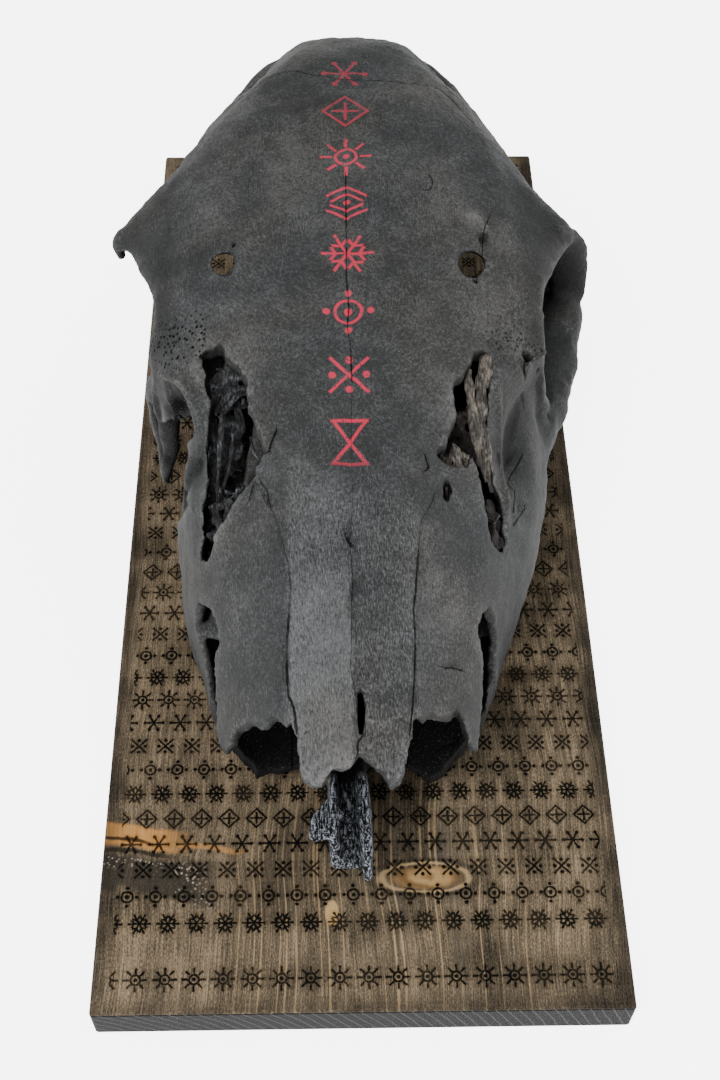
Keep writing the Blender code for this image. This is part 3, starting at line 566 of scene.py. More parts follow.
# Lines where the bones meet and cracks: points x, y from above, depth, half width of its dark core
seams = {
    "midline": (((-0.1, 55.7), (-0.3, 35.1), (-0.3, 18.5), (-0.6, 4.1), (0.3, -9.2), (-0.5, -17.1),
                 (0.7, -26.3), (0.9, -39.3)), 0.5, 0.22),
    "nasalCrack": (((2.7, -159.5), (1.1, -161.8), (1.2, -164.8), (0.6, -168)), 0.5, 0.3),
    "nasalMiddleTop": (((0.9, -39.3), (0.5, -60), (0.5, -71.8), (0.6, -82), (-0.4, -97)), 0.08, 0.05),
    "nasalMiddle": (((-0.4, -97), (0.2, -106.2), (-0.3, -126.5), (-0.7, -139.1), (0.8, -147.1)), 0.25, 0.10),
    "middleNick": (((-1.9, -93.0), (-1.3, -96.4), (0.6, -97.4)), 0.5, 0.2),
    "leftNasalTop": (((-30.2, -72.4), (-28.8, -77.5), (-27.7, -78.6), (-26, -82), (-24.3, -86.6),
                      (-22.5, -94.6), (-20.5, -103), (-20.2, -108)), 0.3, 0.12),
    "leftNasal": (((-20.2, -108), (-19.8, -109.9), (-20.6, -121.1), (-21.3, -129),
                   (-21, -137.6), (-20.6, -143.8), (-18.8, -148.5), (-17.8, -157)), 0.75, 0.36),
    "rightNasalTop": (((28.4, -75.7), (26.6, -80.5), (23.4, -86.7), (22.2, -97.3)), 0.4, 0.15),
    "rightNasal": (((22.2, -97.3), (21, -109.9), (20, -117.1), (20.3, -127.1), (19.7, -139.4), (18.7, -149.5),
                    (17.5, -158)), 0.6, 0.28),
    "leftSmall": (((-29.5, -59.6), (-27.5, -60.4), (-26.8, -57.6), (-25.1, -54.8)), 0.7, 0.34),
    "leftZigzag": (((-30.6, -69.6), (-28.4, -72.6), (-27.3, -77.6), (-26.4, -79.5)), 0.5, 0.26),
    "leftSmallLow": (((-33, -69.8), (-34.4, -74.3)), 0.7, 0.3),
    "rightSmall": (((25.4, -63.3), (26.7, -66.7), (25.6, -68.5)), 0.7, 0.3),
    "plateCrack": (((30.2, -131.6), (32.7, -129.7), (36.1, -128.8)), 0.6, 0.3),
    "coronal": (((-47.3, 110.1), (-32, 120.5), (-25.4, 121.4), (-14.6, 115), (0.2, 112.3), (22, 110.8),
                 (37.7, 114.3), (43.5, 105.6), (48.9, 94.6)), 0.4, 0.12),
    "browGroove": (((46.5, 8.4), (49.4, 20), (50.1, 29.3), (53.1, 40.2)), 0.5, 0.16),
    "scratch": (((28.9, 47.5), (31.6, 49), (32.5, 52.5), (31.1, 56.7)), 0.15, 0.2),
    "pitCrack": (((64.1, -35.4), (58.9, -45.3), (56.9, -50.7), (60, -51.7), (58.7, -61.5)), 0.7, 0.3),
    "pitCrackLow": (((64.1, -54.2), (58.6, -66.1)), 0.6, 0.26),
    "rimSlit": (((66.4, -13.2), (64.6, -14.9), (63.2, -17.7), (64.2, -20.4)), 1.2, 0.5),
}

# Soft hollows and swellings pressed into the surface: centre, radii, depth (minus swells)
presses = (
    ((0, -112, 98), (2.2, 60, 12), 0.7),       # valley between the nasal bones
    ((-9.5, -118, 94), (8, 55, 14), -0.7), ((9.5, -118, 94), (8, 55, 14), -0.7),
    ((61, -42, 77), (6.0, 20, 14), 3.6), ((-61, -26, 90), (5.0, 8.0, 7.0), 4.2),
    ((-74, -13.5, 93), (5.0, 3.2, 7.0), 4.0), ((0, 60, 127), (22, 22, 14), 0.9),
    ((-24, 18, 122), (14, 22, 12), -0.8), ((24, 18, 122), (14, 22, 12), -0.8),
    ((45, 27, 118), (6, 20, 9), 1.3), ((-45, 27, 118), (6, 20, 9), 1.0), ((-77, 44, 101), (10, 8, 8), 1.4),
    ((40, -100, 78), (12, 22, 14), 0.9), ((-40, -100, 78), (12, 22, 14), 0.9),
)
# The same at the back of the skull, pressed forwards
backPresses = (
    ((22, 172, 70), (10, 12, 13), 4.2), ((-22, 172, 70), (10, 12, 13), 4.2),
    ((0, 176, 74), (3.2, 12, 20), -2.2), ((38, 166, 62), (6, 12, 16), -1.4),
    ((-38, 166, 62), (6, 12, 16), -1.4), ((17, 190, 42), (3, 10, 20), 1.2),
    ((-17, 190, 42), (3, 10, 20), 1.2), ((0, 170, 92), (14, 9, 5), 1.6),
)
# How strongly the surface is uneven: size of the lumps, height
lumps = ((24.0, 0.55), (9.0, 0.34), (4.0, 0.16))


# Cheek tooth crowns, front to back: length and width; outer side of each
toothForm = {
    "sizes": ((16, 14), (17, 17), (16, 19), (22, 22), (25, 24), (26, 22)),
    "rowFront": -101.5,
    "rowOuter": (54.5, 57, 59.5, 61.5, 62.5, 61.5),
    "gap": 0.4, "sides": 64, "ribs": (-0.45, 0.0, 0.45), "lowRibs": 0.23, "unevenness": 0.35,
    "levels": ((13.2, 0.90), (11.5, 0.93), (9.0, 0.965), (6.5, 0.99), (4.5, 0.995), (3.0, 0.98), (1.6, 0.95),
               (0.8, 0.90), (0.4, 0.82), (0.9, 0.66), (2.0, 0.42), (1.1, 0.2)),
}


def makeShell():
    f = skullForm
    shell = loftStations("shell", f["stations"], 5, 5)
    hollow = loftStations("hollow", f["hollow"], 5, 5)
    for item in (shell, hollow):
        narrowLeftJaw(item)
    front = ((f["pastSide"], f["pastNose"]), (-f["pastSide"], f["pastNose"]))
    top, edge = f["aboveSkull"], f["edgeHeight"]
    cutters = [hollow, column("throat", f["throat"], *f["throatSpan"]),
               sweep("spineHole", f["spineHolePath"], f["spineHoleSizes"])]
    for name, size, step, seed, low in f["openings"]:
        cutters.append(column(name, roughen(f[name], size, step, seed), low, top))
    cutters += [
        column("upper", roughen(f["upperEdge"] + front, 0.8, 0.8, 1.0), edge, top),
        column("lower", roughen(f["lowerEdge"] + front, 1.0, 1.0, 2.0), f["belowSkull"], edge + 0.5),
        slopedColumn("leftCheekLoss", roughen(f["leftCheekLoss"], 0.5, 1.2, 6.0), f["leftCheekLevel"],
                     *f["leftCheekSpan"], f["apex"]),
        socketLoss("leftSocketLoss", f["leftSocketLoss"]),
        sideColumn("leftJawGap", roughen(f["leftJawGap"], 0.6, 1.0, 8.0), -f["pastSide"], -f["insideJaw"]),
        sideColumn("rightJawGap", roughen(f["rightJawGap"], 0.6, 1.0, 9.0), f["insideJaw"], f["pastSide"]),
    ]
    for x, y, wide, long in f["browHoles"]:
        outline = roughen(oval(x, y, wide, long, 24), 0.25, 0.8, x)
        level, low = f["browHoleLevel"], f["browHoleFloor"]
        cutters.append(slopedColumn("browHole", outline, level, low, top, f["apex"]))
    for x, y, z, radius, depth in smallHoles:
        cutters.append(column("smallHole", oval(x, y, radius, radius, 12), z - depth, z + 12))
    cutAway(shell, cutters)
    return shell


def socketLoss(name, levels):
    # What is gone of the left eye socket's floor: a rounded uneven bite, drawn as level rings.
    past = skullForm["pastCheek"]
    rings = []
    for z, x, front, back in levels:
        ring = []
        for k in range(40):
            cosine, sine = math.cos(math.tau * k / 40), math.sin(math.tau * k / 40)
            spot = ((x - past) / 2 + boxy(cosine, 0.7) * ((x + past) / 2),
                    (front + back) / 2 + boxy(sine, 0.7) * (back - front) / 2, z)
            push = drift(Vector(spot) * 0.12) * 2.4
            ring.append((spot[0] + push.x, spot[1] + push.y, z))
        rings.append(ring)
    return loft(name, rings)


def narrowLeftJaw(item):
    # The left upper jaw has lost its outer crest, so it is a little narrower there.
    p = toSkull(getPlaces(item))
    reach = np.clip((-p[:, 0] - 45) / 15, 0, 1) * np.clip(1 - np.abs(p[:, 1] + 45) / 45, 0, 1)
    low = np.clip((75 - p[:, 2]) / 20, 0, 1) * np.clip((p[:, 2] - 18) / 12, 0, 1)
    p[:, 0] += np.where((p[:, 0] < -45) & (p[:, 1] < 0), skullForm["leftJawLoss"] * reach * low, 0)
    setPlaces(item, toWorld(p))


def mirrored(path):
    return [(-x, y, z) for x, y, z in path]


def knob(name, centre, radii, turn):
    # A rounded knob, drawn as rings along its own height.
    levels = [math.pi * k / 12 for k in range(1, 12)]
    tilt = math.radians(turn)
    rings = []
    for level in levels:
        ring = []
        for k in range(24):
            a = math.tau * k / 24
            x = radii[0] * math.sin(level) * math.cos(a)
            y = radii[1] * math.sin(level) * math.sin(a)
            z = radii[2] * math.cos(level)
            ring.append((centre[0] + x, centre[1] + y * math.cos(tilt) - z * math.sin(tilt),
                         centre[2] + y * math.sin(tilt) + z * math.cos(tilt)))
        rings.append(ring)
    return loft(name, rings)


def makeBars():
    f = skullForm
    items = []
    for name, path, sizes, up in f["bars"]:
        smooth = name == "septum" or name.startswith("prong")
        items.append(sweep(name, path, sizes, up, lumps=0.0 if smooth else 0.12))
    for name, path, sizes, up in f["pairedBars"]:
        for side in (path, mirrored(path)):
            items.append(sweep(name, side, sizes, up, lumps=0.1))
    for name, centre, radii, turn in f["knobs"]:
        for side in (centre, mirrored([centre])[0]):
            items.append(knob(name, side, radii, turn))
    for name, path, sizes, up in skullTrims:
        items.append(sweep(name, path, sizes, up, lumps=0.06))
    return items


def keepLargestPart(item):
    # Loose crumbs are deleted; the largest connected part stays.
    edges = getEdges(item)
    label = np.arange(len(item.data.vertices))
    while True:
        low = np.minimum(label[edges[:, 0]], label[edges[:, 1]])
        new = label.copy()
        np.minimum.at(new, edges[:, 0], low)
        np.minimum.at(new, edges[:, 1], low)
        new = new[new]
        if (new == label).all():
            break
        label = new
    deleteChosen(item, "VERT", label != np.bincount(label).argmax())


def distanceTo(line, places):
    # Distance from each place to a line, both seen from above, with a minus on the line's right.
    p = places[:, :2]
    best = np.full(len(p), 1e9)
    line = np.array(line, float)
    for a, b in zip(line[:-1], line[1:]):
        along = b - a
        t = np.clip(((p - a) @ along) / (along @ along), 0, 1)
        away = np.hypot(*(p - a - t[:, None] * along).T)
        side = np.sign(along[0] * (p[:, 1] - a[1]) - along[1] * (p[:, 0] - a[0]))
        best = np.where(away < np.abs(best), away * side, best)
    return best


def wobble(places, scale, seed):
    return np.array([noise.noise(Vector(p)) for p in places * (1 / scale) + seed])


def fromMiddle(places):
    # Straight out from the skull's middle line. Both sides of a thin wall move this same way.
    outwards = places * (1.0, 0.0, 1.0) - (0.0, 0.0, skullForm["middleHeight"])
    outwards /= np.linalg.norm(outwards, axis=1)[:, None] + 1e-9
    return outwards


def softSpot(places, centre, radii):
    # 1 at the centre, fading away over the radii.
    return np.exp(-(((places - centre) / radii) ** 2).sum(1))


def pressRelief(item):
    # Lumps, soft hollows and the lines between the bones, pressed into the surface.
    f = skullForm
    p, n = toSkull(getPlaces(item)), getNormals(item)
    outwards = fromMiddle(p)
    push, carve, inwards = np.zeros(len(p)), np.zeros(len(p)), np.zeros(len(p))
    for index, (size, height) in enumerate(lumps):
        push += height * 2 * wobble(p, size, 11.3 * index)
    for centre, radii, depth in presses:
        push -= depth * softSpot(p, centre, radii)
    for centre, radii, depth in backPresses:
        inwards += depth * softSpot(p, centre, radii)
    # The jaw swells a little over each cheek tooth
    rim = np.clip((26 - p[:, 2]) / 8, 0, 1) * (np.abs(p[:, 0]) > 46) * np.clip((27 - p[:, 1]) / 4, 0, 1)
    front = toothForm["rowFront"]
    for length, width in toothForm["sizes"]:
        push += rim * f["toothSwell"] * np.exp(-(((p[:, 1] - front - length / 2) / (length * 0.3)) ** 2))
        front += length + toothForm["gap"]
    up = np.clip(n[:, 2] * 3, 0, 1)
    jag = 0.5 * wobble(p, 1.7, 5.1)
    for line, depth, half in seams.values():
        away = np.maximum(np.abs(distanceTo(line, p)) + jag * 0.4, 0)
        carve -= depth * up * np.exp(-((away / (half + 0.35)) ** 2))
    for centre, radius, depth in pits:
        away = ((p - centre) ** 2).sum(1) / radius ** 2
        carve -= depth * np.exp(-away ** 1.5)
    carve += 0.22 * np.abs(wobble(p, 2.2, 31.0))
    # The broken front edges waver to and fro
    reach = np.clip((-141 - p[:, 1]) / 8, 0, 1)
    wavering = f["frontWaver"] * wobble(p, f["frontWaverSize"], 77.0) * reach * (p[:, 2] > f["edgeHeight"])
    moved = n * carve[:, None] + outwards * push[:, None] + (wavering - inwards)[:, None] * (0.0, 1.0, 0.0)
    setPlaces(item, getPlaces(item) + moved * mm)


def makeSkull():
    shell = makeShell()
    print("skull shell cut")
    skull = joinAll([shell] + makeBars(), "skullBone")
    modify(skull, "REMESH", mode="VOXEL", voxel_size=skullForm["voxel"] * 1.0 * mm)
    modify(skull, "SMOOTH", factor=0.5, iterations=2)
    keepLargestPart(skull)
    print("skull fused:", len(skull.data.polygons), "faces")
    pressRelief(skull)
    triangles = sum(len(face.vertices) - 2 for face in skull.data.polygons)
    if triangles > skullForm["triangles"]:
        modify(skull, "DECIMATE", ratio=skullForm["triangles"] / triangles)
    low, high = (np.array(corner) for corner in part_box("skull"))
    setPlaces(skull, np.clip(getPlaces(skull), low, high))
    print("skull finished:", len(skull.data.polygons), "faces")
    return skull


class Wire:
    # One output of a shader node. Sums on it add Math nodes.
    def __init__(self, paint, socket):
        self.paint, self.socket = paint, socket

    def math(self, operation, *others):
        return self.paint.node("ShaderNodeMath", {"operation": operation}, self, *others)

    def __add__(self, other):
        return self.math("ADD", other)

    def __mul__(self, other):
        return self.math("MULTIPLY", other)

    def __sub__(self, other):
        return self.math("SUBTRACT", other)

    def __truediv__(self, other):
        return self.math("DIVIDE", other)

    def __pow__(self, other):
        return self.math("POWER", other)

    def __rsub__(self, other):
        return self.paint.node("ShaderNodeMath", {"operation": "SUBTRACT"}, other, self)

    def __rtruediv__(self, other):
        return self.paint.node("ShaderNodeMath", {"operation": "DIVIDE"}, other, self)

    def __abs__(self):
        return self.math("ABSOLUTE")

    def __lt__(self, other):
        return self.math("LESS_THAN", other)

    __radd__ = __add__
    __rmul__ = __mul__

    def smallest(self, *others):
        result = self
        for other in others:
            result = result.math("MINIMUM", other)
        return result

    def largest(self, *others):
        result = self
        for other in others:
            result = result.math("MAXIMUM", other)
        return result

    def fade(self, low, high, start=0.0, end=1.0):
        # Runs smoothly from start at low to end at high.
        settings = {"interpolation_type": "SMOOTHSTEP"}
        return self.paint.node("ShaderNodeMapRange", settings, self, low, high, start, end)

    def near(self, centre, half):
        # 1 at the centre, 0 from half away on.
        return abs(self - centre).fade(half, 0.0)


class Paint:
    # A material whose nodes are added one by one.
    def __init__(self, name):
        self.material = bpy.data.materials.new(name)
        self.material.use_nodes = True
        self.tree = self.material.node_tree
        self.shader = self.tree.nodes["Principled BSDF"]
        place = self.node("ShaderNodeTexCoord", output="Object")
        self.place = self.vector("SCALE", place, Scale=1000.0)

    def feed(self, socket, value):
        if isinstance(value, Wire):
            self.tree.links.new(value.socket, socket)
        else:
            socket.default_value = value

    def node(self, kind, settings=None, *values, output=0, **sockets):
        item = self.tree.nodes.new(kind)
        for key, value in (settings or {}).items():
            if key == "stops":
                ramp = item.color_ramp.elements
                while len(ramp) < len(value):
                    ramp.new(0.5)
                for stop, (position, colour) in zip(ramp, value):
                    stop.position, stop.color = position, (*colour, 1.0)
            else:
                setattr(item, key, value)
        for index, value in enumerate(values):
            self.feed(item.inputs[index], value)
        for key, value in sockets.items():
            self.feed(item.inputs[key], value)
        return Wire(self, item.outputs[output])

    def vector(self, operation, *values, **sockets):
        return self.node("ShaderNodeVectorMath", {"operation": operation}, *values, **sockets)

    def split(self, vector):
        item = self.node("ShaderNodeSeparateXYZ", None, vector).socket.node
        return [Wire(self, item.outputs[k]) for k in range(3)]

    def joined(self, x, y, z):
        return self.node("ShaderNodeCombineXYZ", None, x, y, z)

    def noise(self, size, vector=None, detail=2.0, roughness=0.5):
        return self.node("ShaderNodeTexNoise", None, Vector=vector or self.place, Scale=1.0 / size,
                         Detail=detail, Roughness=roughness)

    def turned(self, angle, stretch):
        # The pattern's own axes: turned about Z, then stretched.
        turn = (0.0, 0.0, math.radians(angle))
        settings = {"vector_type": "TEXTURE"}
        return self.node("ShaderNodeMapping", settings, Vector=self.place, Rotation=turn, Scale=stretch)

    def mix(self, factor, first, second, blend="MIX"):
        item = self.tree.nodes.new("ShaderNodeMix")
        item.data_type, item.blend_type = "RGBA", blend
        for index, value in ((0, factor), (6, first), (7, second)):
            self.feed(item.inputs[index], (*value, 1.0) if isinstance(value, tuple) else value)
        return Wire(self, item.outputs[2])

    def ramp(self, factor, *stops):
        return self.node("ShaderNodeValToRGB", {"stops": stops}, factor)

    def attribute(self, name):
        return self.node("ShaderNodeAttribute", {"attribute_name": name}, output="Fac")

    def bump(self, height, strength, distance, normal=None):
        sockets = {"Height": height, "Strength": strength, "Distance": distance}
        if normal is not None:
            sockets["Normal"] = normal
        return self.node("ShaderNodeBump", None, **sockets)

    def finish(self, colour, roughness, normal=None, **constants):
        self.feed(self.shader.inputs["Base Color"], colour)
        self.feed(self.shader.inputs["Roughness"], roughness)
        if normal is not None:
            self.feed(self.shader.inputs["Normal"], normal)
        for key, value in constants.items():
            self.shader.inputs[key.replace("_", " ")].default_value = value
        return self.material


class Marks:
    # Plain signs on a unit square: stars, suns, diamonds, rings. Each gives the distance to its strokes.
    def __init__(self, u, v):
        self.u, self.v = u, v
        self.radius = (u * u + v * v).math("SQRT")
        self.angle = v.math("ARCTAN2", u)
        self.folds = {}

    def fold(self, count, turn=0.0):
        # The square folded into equal slices: how far along a slice's middle, and how far beside it.
        if (count, turn) not in self.folds:
            half = math.pi / count
            lean = abs((self.angle + turn).math("WRAP", half, -half))
            self.folds[count, turn] = (self.radius * lean.math("COSINE"), self.radius * lean.math("SINE"))
        return self.folds[count, turn]

    def arms(self, count, start, end, turn=0.0):
        along, beside = self.fold(count, turn)
        return beside.largest(along - end, start - along)

    def dots(self, count, at, size, turn=0.0):
        along, beside = self.fold(count, turn)
        away = along - at
        return (away * away + beside * beside).math("SQRT") - size

    def barbs(self, count, at, half, turn=0.0):
        along, beside = self.fold(count, turn)
        return (abs(along - at - beside * 0.6) * 0.86).largest(beside - half)

    def ring(self, size):
        return abs(self.radius - size)

    def star(self):
        return self.arms(6, 0.0, 0.72).smallest(self.dots(6, 0.86, 0.07))

    def sun(self):
        return self.ring(0.42).smallest(self.arms(8, 0.62, 0.98), self.radius - 0.08)

    def diamond(self):
        rim = abs(abs(self.u) + abs(self.v) - 0.92) * 0.71
        return rim.smallest(self.arms(4, 0.0, 0.5))

    def flake(self):
        return self.arms(6, 0.0, 0.95).smallest(self.barbs(6, 0.45, 0.26))

    def ringDots(self):
        return self.ring(0.5).smallest(self.dots(4, 0.84, 0.08), self.radius - 0.1)

    def saltire(self):
        quarter = math.pi / 4
        return self.arms(4, 0.0, 0.95, quarter).smallest(self.dots(4, 0.62, 0.08))

    def hourglass(self):
        wide, tall = abs(self.u), abs(self.v)
        sides = (abs(wide - tall * 0.7) * 0.8).largest(tall - 0.85)
        return sides.smallest(abs(tall - 0.85).largest(wide - 0.62))

    def chevrons(self):
        wide, tall = abs(self.u), abs(self.v)
        first = (abs(tall - 0.5 + wide * 0.6) * 0.86).largest(wide - 0.6)
        second = (abs(tall - 0.92 + wide * 0.6) * 0.86).largest(wide - 0.75)
        return first.smallest(second, self.radius - 0.08)


boneFinish = {
    "dark": (0.0068, 0.0069, 0.0068), "middle": (0.0290, 0.0294, 0.0292), "light": (0.125, 0.126, 0.125),
    # The first colour on the next line is near black, for the cracks and for the painted shade in hollows,
    # pits and inside the nose
    # The grit colour on the next line is pale grit together with a painted bluish highlight
    "crackAndShadeBlack": (0.0012, 0.0011, 0.0010), "gritAndGlint": (0.26, 0.285, 0.32), "roughness": 0.74,
    "red": (0.40, 0.019, 0.044), "paleRed": (0.50, 0.05, 0.085),
    "markTop": 116.0, "markStep": 25.4, "markHalf": 9.4, "markStroke": 0.50,
    "tone": 0.505, "paintedSideShade": 0.24, "leftNasalPaler": 0.165, "shadow": 0.93,
    "rays": 12, "rayReach": 0.08, "rounds": 14,
}
signOrder = ("star", "diamond", "sun", "chevrons", "flake", "ringDots", "saltire", "hourglass")


def measureBone(item):
    # Numbers at every vertex: how open it lies to the air, how far it stands out, whether it is
    # on a wall inside the nose, and where it lies from the nearest line between the bones.
    f = boneFinish
    places, normals, edges = getPlaces(item), getNormals(item), getEdges(item)
    count = len(places)
    degree = np.maximum(np.bincount(edges.ravel(), minlength=count), 1)

    def aroundMean(values):
        total = (np.bincount(edges[:, 0], values[edges[:, 1]], count)
                 + np.bincount(edges[:, 1], values[edges[:, 0]], count))
        return total / degree

    soft = places.copy()
    for _ in range(f["rounds"]):
        soft = np.stack([aroundMean(soft[:, axis]) for axis in range(3)], 1)
    stand = ((places - soft) * normals).sum(1) / mm

    tree = BVHTree.FromObject(item, bpy.context.evaluated_depsgraph_get())
    side = np.where(np.abs(normals[:, :1]) < 0.7, [[1.0, 0, 0]], [[0, 1.0, 0]])
    first = np.cross(normals, side)
    first /= np.linalg.norm(first, axis=1)[:, None] + 1e-9
    second = np.cross(normals, first)
    starts = places + normals * 0.4 * mm
    free = np.zeros(count)
    rays = f["rays"]
    for k in range(rays):
        height = 1 - (k + 0.5) / (f["rays"] + 1)
        flat, turn = math.sqrt(1 - height * height), k * 2.39996
        aims = first * (flat * math.cos(turn)) + second * (flat * math.sin(turn)) + normals * height
        for index in range(count):
            if tree.ray_cast(starts[index], aims[index], f["rayReach"])[0] is None:
                free[index] += 1
    free /= rays
    for _ in range(2):
        stand = 0.5 * stand + 0.5 * aroundMean(stand)
        free = 0.5 * free + 0.5 * aroundMean(free)
    # The walls round the nose hollow, which look towards its middle, and the pits: the bone's colour paints
    # them near black as shade
    p = toSkull(places)
    inside = np.clip(-(fromMiddle(p) * normals).sum(1) * 2.5 - 0.2, 0, 1)
    inside *= np.clip((18 - p[:, 1]) / 10, 0, 1) * np.clip((p[:, 2] - 16) / 6, 0, 1)
    for centre, radius, depth in pits:
        inside = np.maximum(inside, np.exp(-(((p - centre) ** 2).sum(1) / (radius * 1.1) ** 2) ** 1.5))
    # The nearest line between the bones: signed distance over its half width, and 1 close to it
    nearest, across = np.full(count, 1e9), np.zeros(count)
    for line, depth, half in seams.values():
        away = distanceTo(line, p)
        across = np.where(np.abs(away) < nearest, away / half, across)
        nearest = np.minimum(nearest, np.abs(away))
    measures = {"openness": free, "standing": stand, "inside": inside, "across": across,
                "beside": np.clip((2.4 - nearest) / 1.2, 0, 1)}
    for name, values in measures.items():
        layer = item.data.attributes.new(name, "FLOAT", "POINT")
        layer.data.foreach_set("value", values.astype(np.float32))


def boneMaterial():
    f = boneFinish
    paint = Paint("blackenedBone")
    back = (-skullPlace["shift"], 0.0, -skullPlace["boardTop"])
    x, y, z = paint.split(paint.vector("ADD", paint.place, back))
    openness, standing, inner, across, beside = [paint.attribute(name) for name in (
        "openness", "standing", "inside", "across", "beside")]
    up = paint.split(paint.node("ShaderNodeNewGeometry", output="Normal"))[2]

    broad = paint.noise(34, detail=3)
    middle = paint.noise(9, detail=4, roughness=0.6)
    fine = paint.noise(1.3, detail=3, roughness=0.6)
    # Short fibres in the grain of the bone, turning slowly from place to place
    strands = [paint.noise(0.38, paint.turned(angle, (1, 8.0, 1.6)), detail=2, roughness=0.7)
               for angle in (4, 38, -34)]
    bend = paint.noise(26, detail=1).fade(0.42, 0.58)
    bendMore = paint.noise(19, paint.vector("ADD", paint.place, (50.0, 0.0, 0.0)), detail=1).fade(0.45, 0.56)
    face = (y * -1 + (broad - 0.5) * 40).fade(45, 95)
    slanted = strands[1] + (strands[2] - strands[1]) * bend
    fibre = slanted + (strands[0] - slanted) * bendMore.largest(face)
    streak = (fibre - 0.5).fade(0.03, 0.20)

    nasal = face * abs(x).fade(23, 19) * z.fade(70, 80)
    low = y.fade(-98, -115)
    # The left nasal bone is paler: its paler fibres, with painted light falling from the left
    leftNasal = nasal * (x.fade(0.8, -0.8) * low + x.fade(9, -9) * (1 - low)) * (0.5 + low * 0.5)
    jag = (paint.noise(1.5, detail=2) - 0.5) * 2.2
    faint = abs(x).near(24.5, 7) * y.near(-88, 20) * 0.75
    crack = abs(across + jag).fade(1.5, 0.5) * beside * up.fade(0.1, 0.4)
    crack = crack * (1 - faint.largest(middle.fade(0.52, 0.66) * 0.6))

    speck = paint.noise(0.7, detail=1)
    cloud = paint.noise(48, detail=2, roughness=0.6)
    # Edges that stand out are paler, worn fibres with a painted highlight; the last term of the tone below
    # paints shade into the surface's hollows
    frayedAndLitEdges = standing.fade(0.5, 1.3) * paint.noise(1.8, detail=2).fade(0.38, 0.62)
    # Painted shade: surfaces facing sideways are darker than those facing up, as under light from above
    side = up.fade(0.85, 0.0)
    # Darker eye rims, painted shade in the right cheek hollow, a painted highlight on the lump above the
    # right brow hole, and a paler patch on the left brow
    dim = abs(x).fade(60, 70) * y.fade(-22, -8) * 0.13
    dim = dim + x.near(61, 13) * y.near(-38, 32) * z.near(80, 26) * 0.22
    dim = dim - x.near(46.5, 7) * y.near(38, 9) * 0.22 * up.fade(0.5, 0.9)
    dim = dim - x.near(-50, 12) * y.near(42, 20) * 0.08
    tone = (f["tone"] - dim - side * f["paintedSideShade"] + (broad - 0.5) * 0.26 + (cloud - 0.5) * 0.22
            + (middle - 0.5) * 0.24 + (fine - 0.5) * 0.34 + (speck - 0.5) * 0.30
            + (fibre - 0.5) * (0.42 + nasal * 0.36) + streak * (0.02 + nasal * 0.05) + nasal * 0.025
            + leftNasal * f["leftNasalPaler"] + frayedAndLitEdges * 0.12 - standing.fade(-0.25, -0.9) * 0.2)
    colour = paint.ramp(tone, (0.10, f["dark"]), (0.46, f["middle"]), (0.90, f["light"]))
    tint = paint.mix(cloud.fade(0.38, 0.62), (0.975, 0.998, 1.025), (1.02, 1.0, 0.965))
    colour = paint.mix(1.0, colour, tint, "MULTIPLY")
    # Painted shade: the low inner walls at the front of the nose go near black
    noseFloorShade = z.fade(54, 42) * y.fade(-118, -130)
    colour = paint.mix(noseFloorShade * 0.8, colour, f["crackAndShadeBlack"])

    # Pores along the brow edges, and pale grit on the prong, with a painted bluish highlight on its standing
    # parts
    band = y.near(-11, 18) * abs(x).fade(46, 54) * z.fade(93, 98) * (0.7 + x.fade(10, -10) * 0.5)
    pores = paint.node("ShaderNodeTexVoronoi", None, Vector=paint.place, Scale=0.55, Randomness=1.0)
    pit = pores.fade(0.40, 0.20) * (band * 1.2 + middle.fade(0.62, 0.75) * 0.5)
    prong = y.fade(-146, -152) * z.fade(50, 44) * abs(x).fade(20, 16)
    ridges = paint.noise(0.75, paint.turned(0, (1, 5, 1)), detail=2, roughness=0.7)
    grains = paint.noise(0.55, detail=2, roughness=0.8)
    gritAndGlint = (ridges * 0.7 + grains * 0.5).fade(0.57, 0.74) * prong * (0.35 + standing.fade(-0.1, 0.6) * 0.65)
    rotten = inner.fade(0.25, 0.6) * (1 - prong)
    gritAndGlint = gritAndGlint.largest(grains.fade(0.60, 0.74) * rotten * 0.30)
    colour = paint.mix(crack.largest(pit) * 0.9, colour, f["crackAndShadeBlack"])
    # Painted shade: near black where little air is open to the surface, on the walls inside the nose and in
    # the pits, and darker over the prong
    shade = openness.fade(0.5, 0.08).largest(inner)
    colour = paint.mix((shade * f["shadow"]).largest(prong * 0.55), colour, f["crackAndShadeBlack"])
    colour = paint.mix(gritAndGlint, colour, f["gritAndGlint"])

    # Red signs down the middle
    step = f["markStep"]
    place = (f["markTop"] + step / 2 - y) / step
    row = place.math("FLOOR")
    ragged = paint.noise(1.6, detail=2) - 0.5
    u = (x + (paint.noise(5, detail=1) - 0.5) * 0.8) / f["markHalf"]
    v = (place - row - 0.5) * (-step / f["markHalf"])
    marks = Marks(u, v)
    stroke = f["markStroke"] / f["markHalf"]
    sign = None
    for index, name in enumerate(signOrder):
        chosen = row.math("COMPARE", float(index), 0.25)
        part = getattr(marks, name)().fade(stroke + 0.035, stroke - 0.02) * chosen
        sign = part if sign is None else sign + part
    between = ((x * x) + ((place - 0.5).math("WRAP", 0.5, -0.5) * step).math("POWER", 2.0)).math("SQRT")
    inside = y.near(28, 104).fade(0.0, 0.02)
    sign = sign.largest(between.fade(1.15, 0.8) * y.near(28, 90).fade(0.0, 0.02)) * inside
    worn = (fine * 0.6 + fibre * 0.4 + ragged * 0.25).fade(0.64, 0.56)
    sign = sign * worn * y.fade(100, 50, 0.42, 1.0) * up.fade(0.2, 0.5) * z.fade(100, 104) * (1 - crack * 0.9)
    colour = paint.mix(sign * 0.93, colour, paint.mix(broad, f["red"], f["paleRed"]))

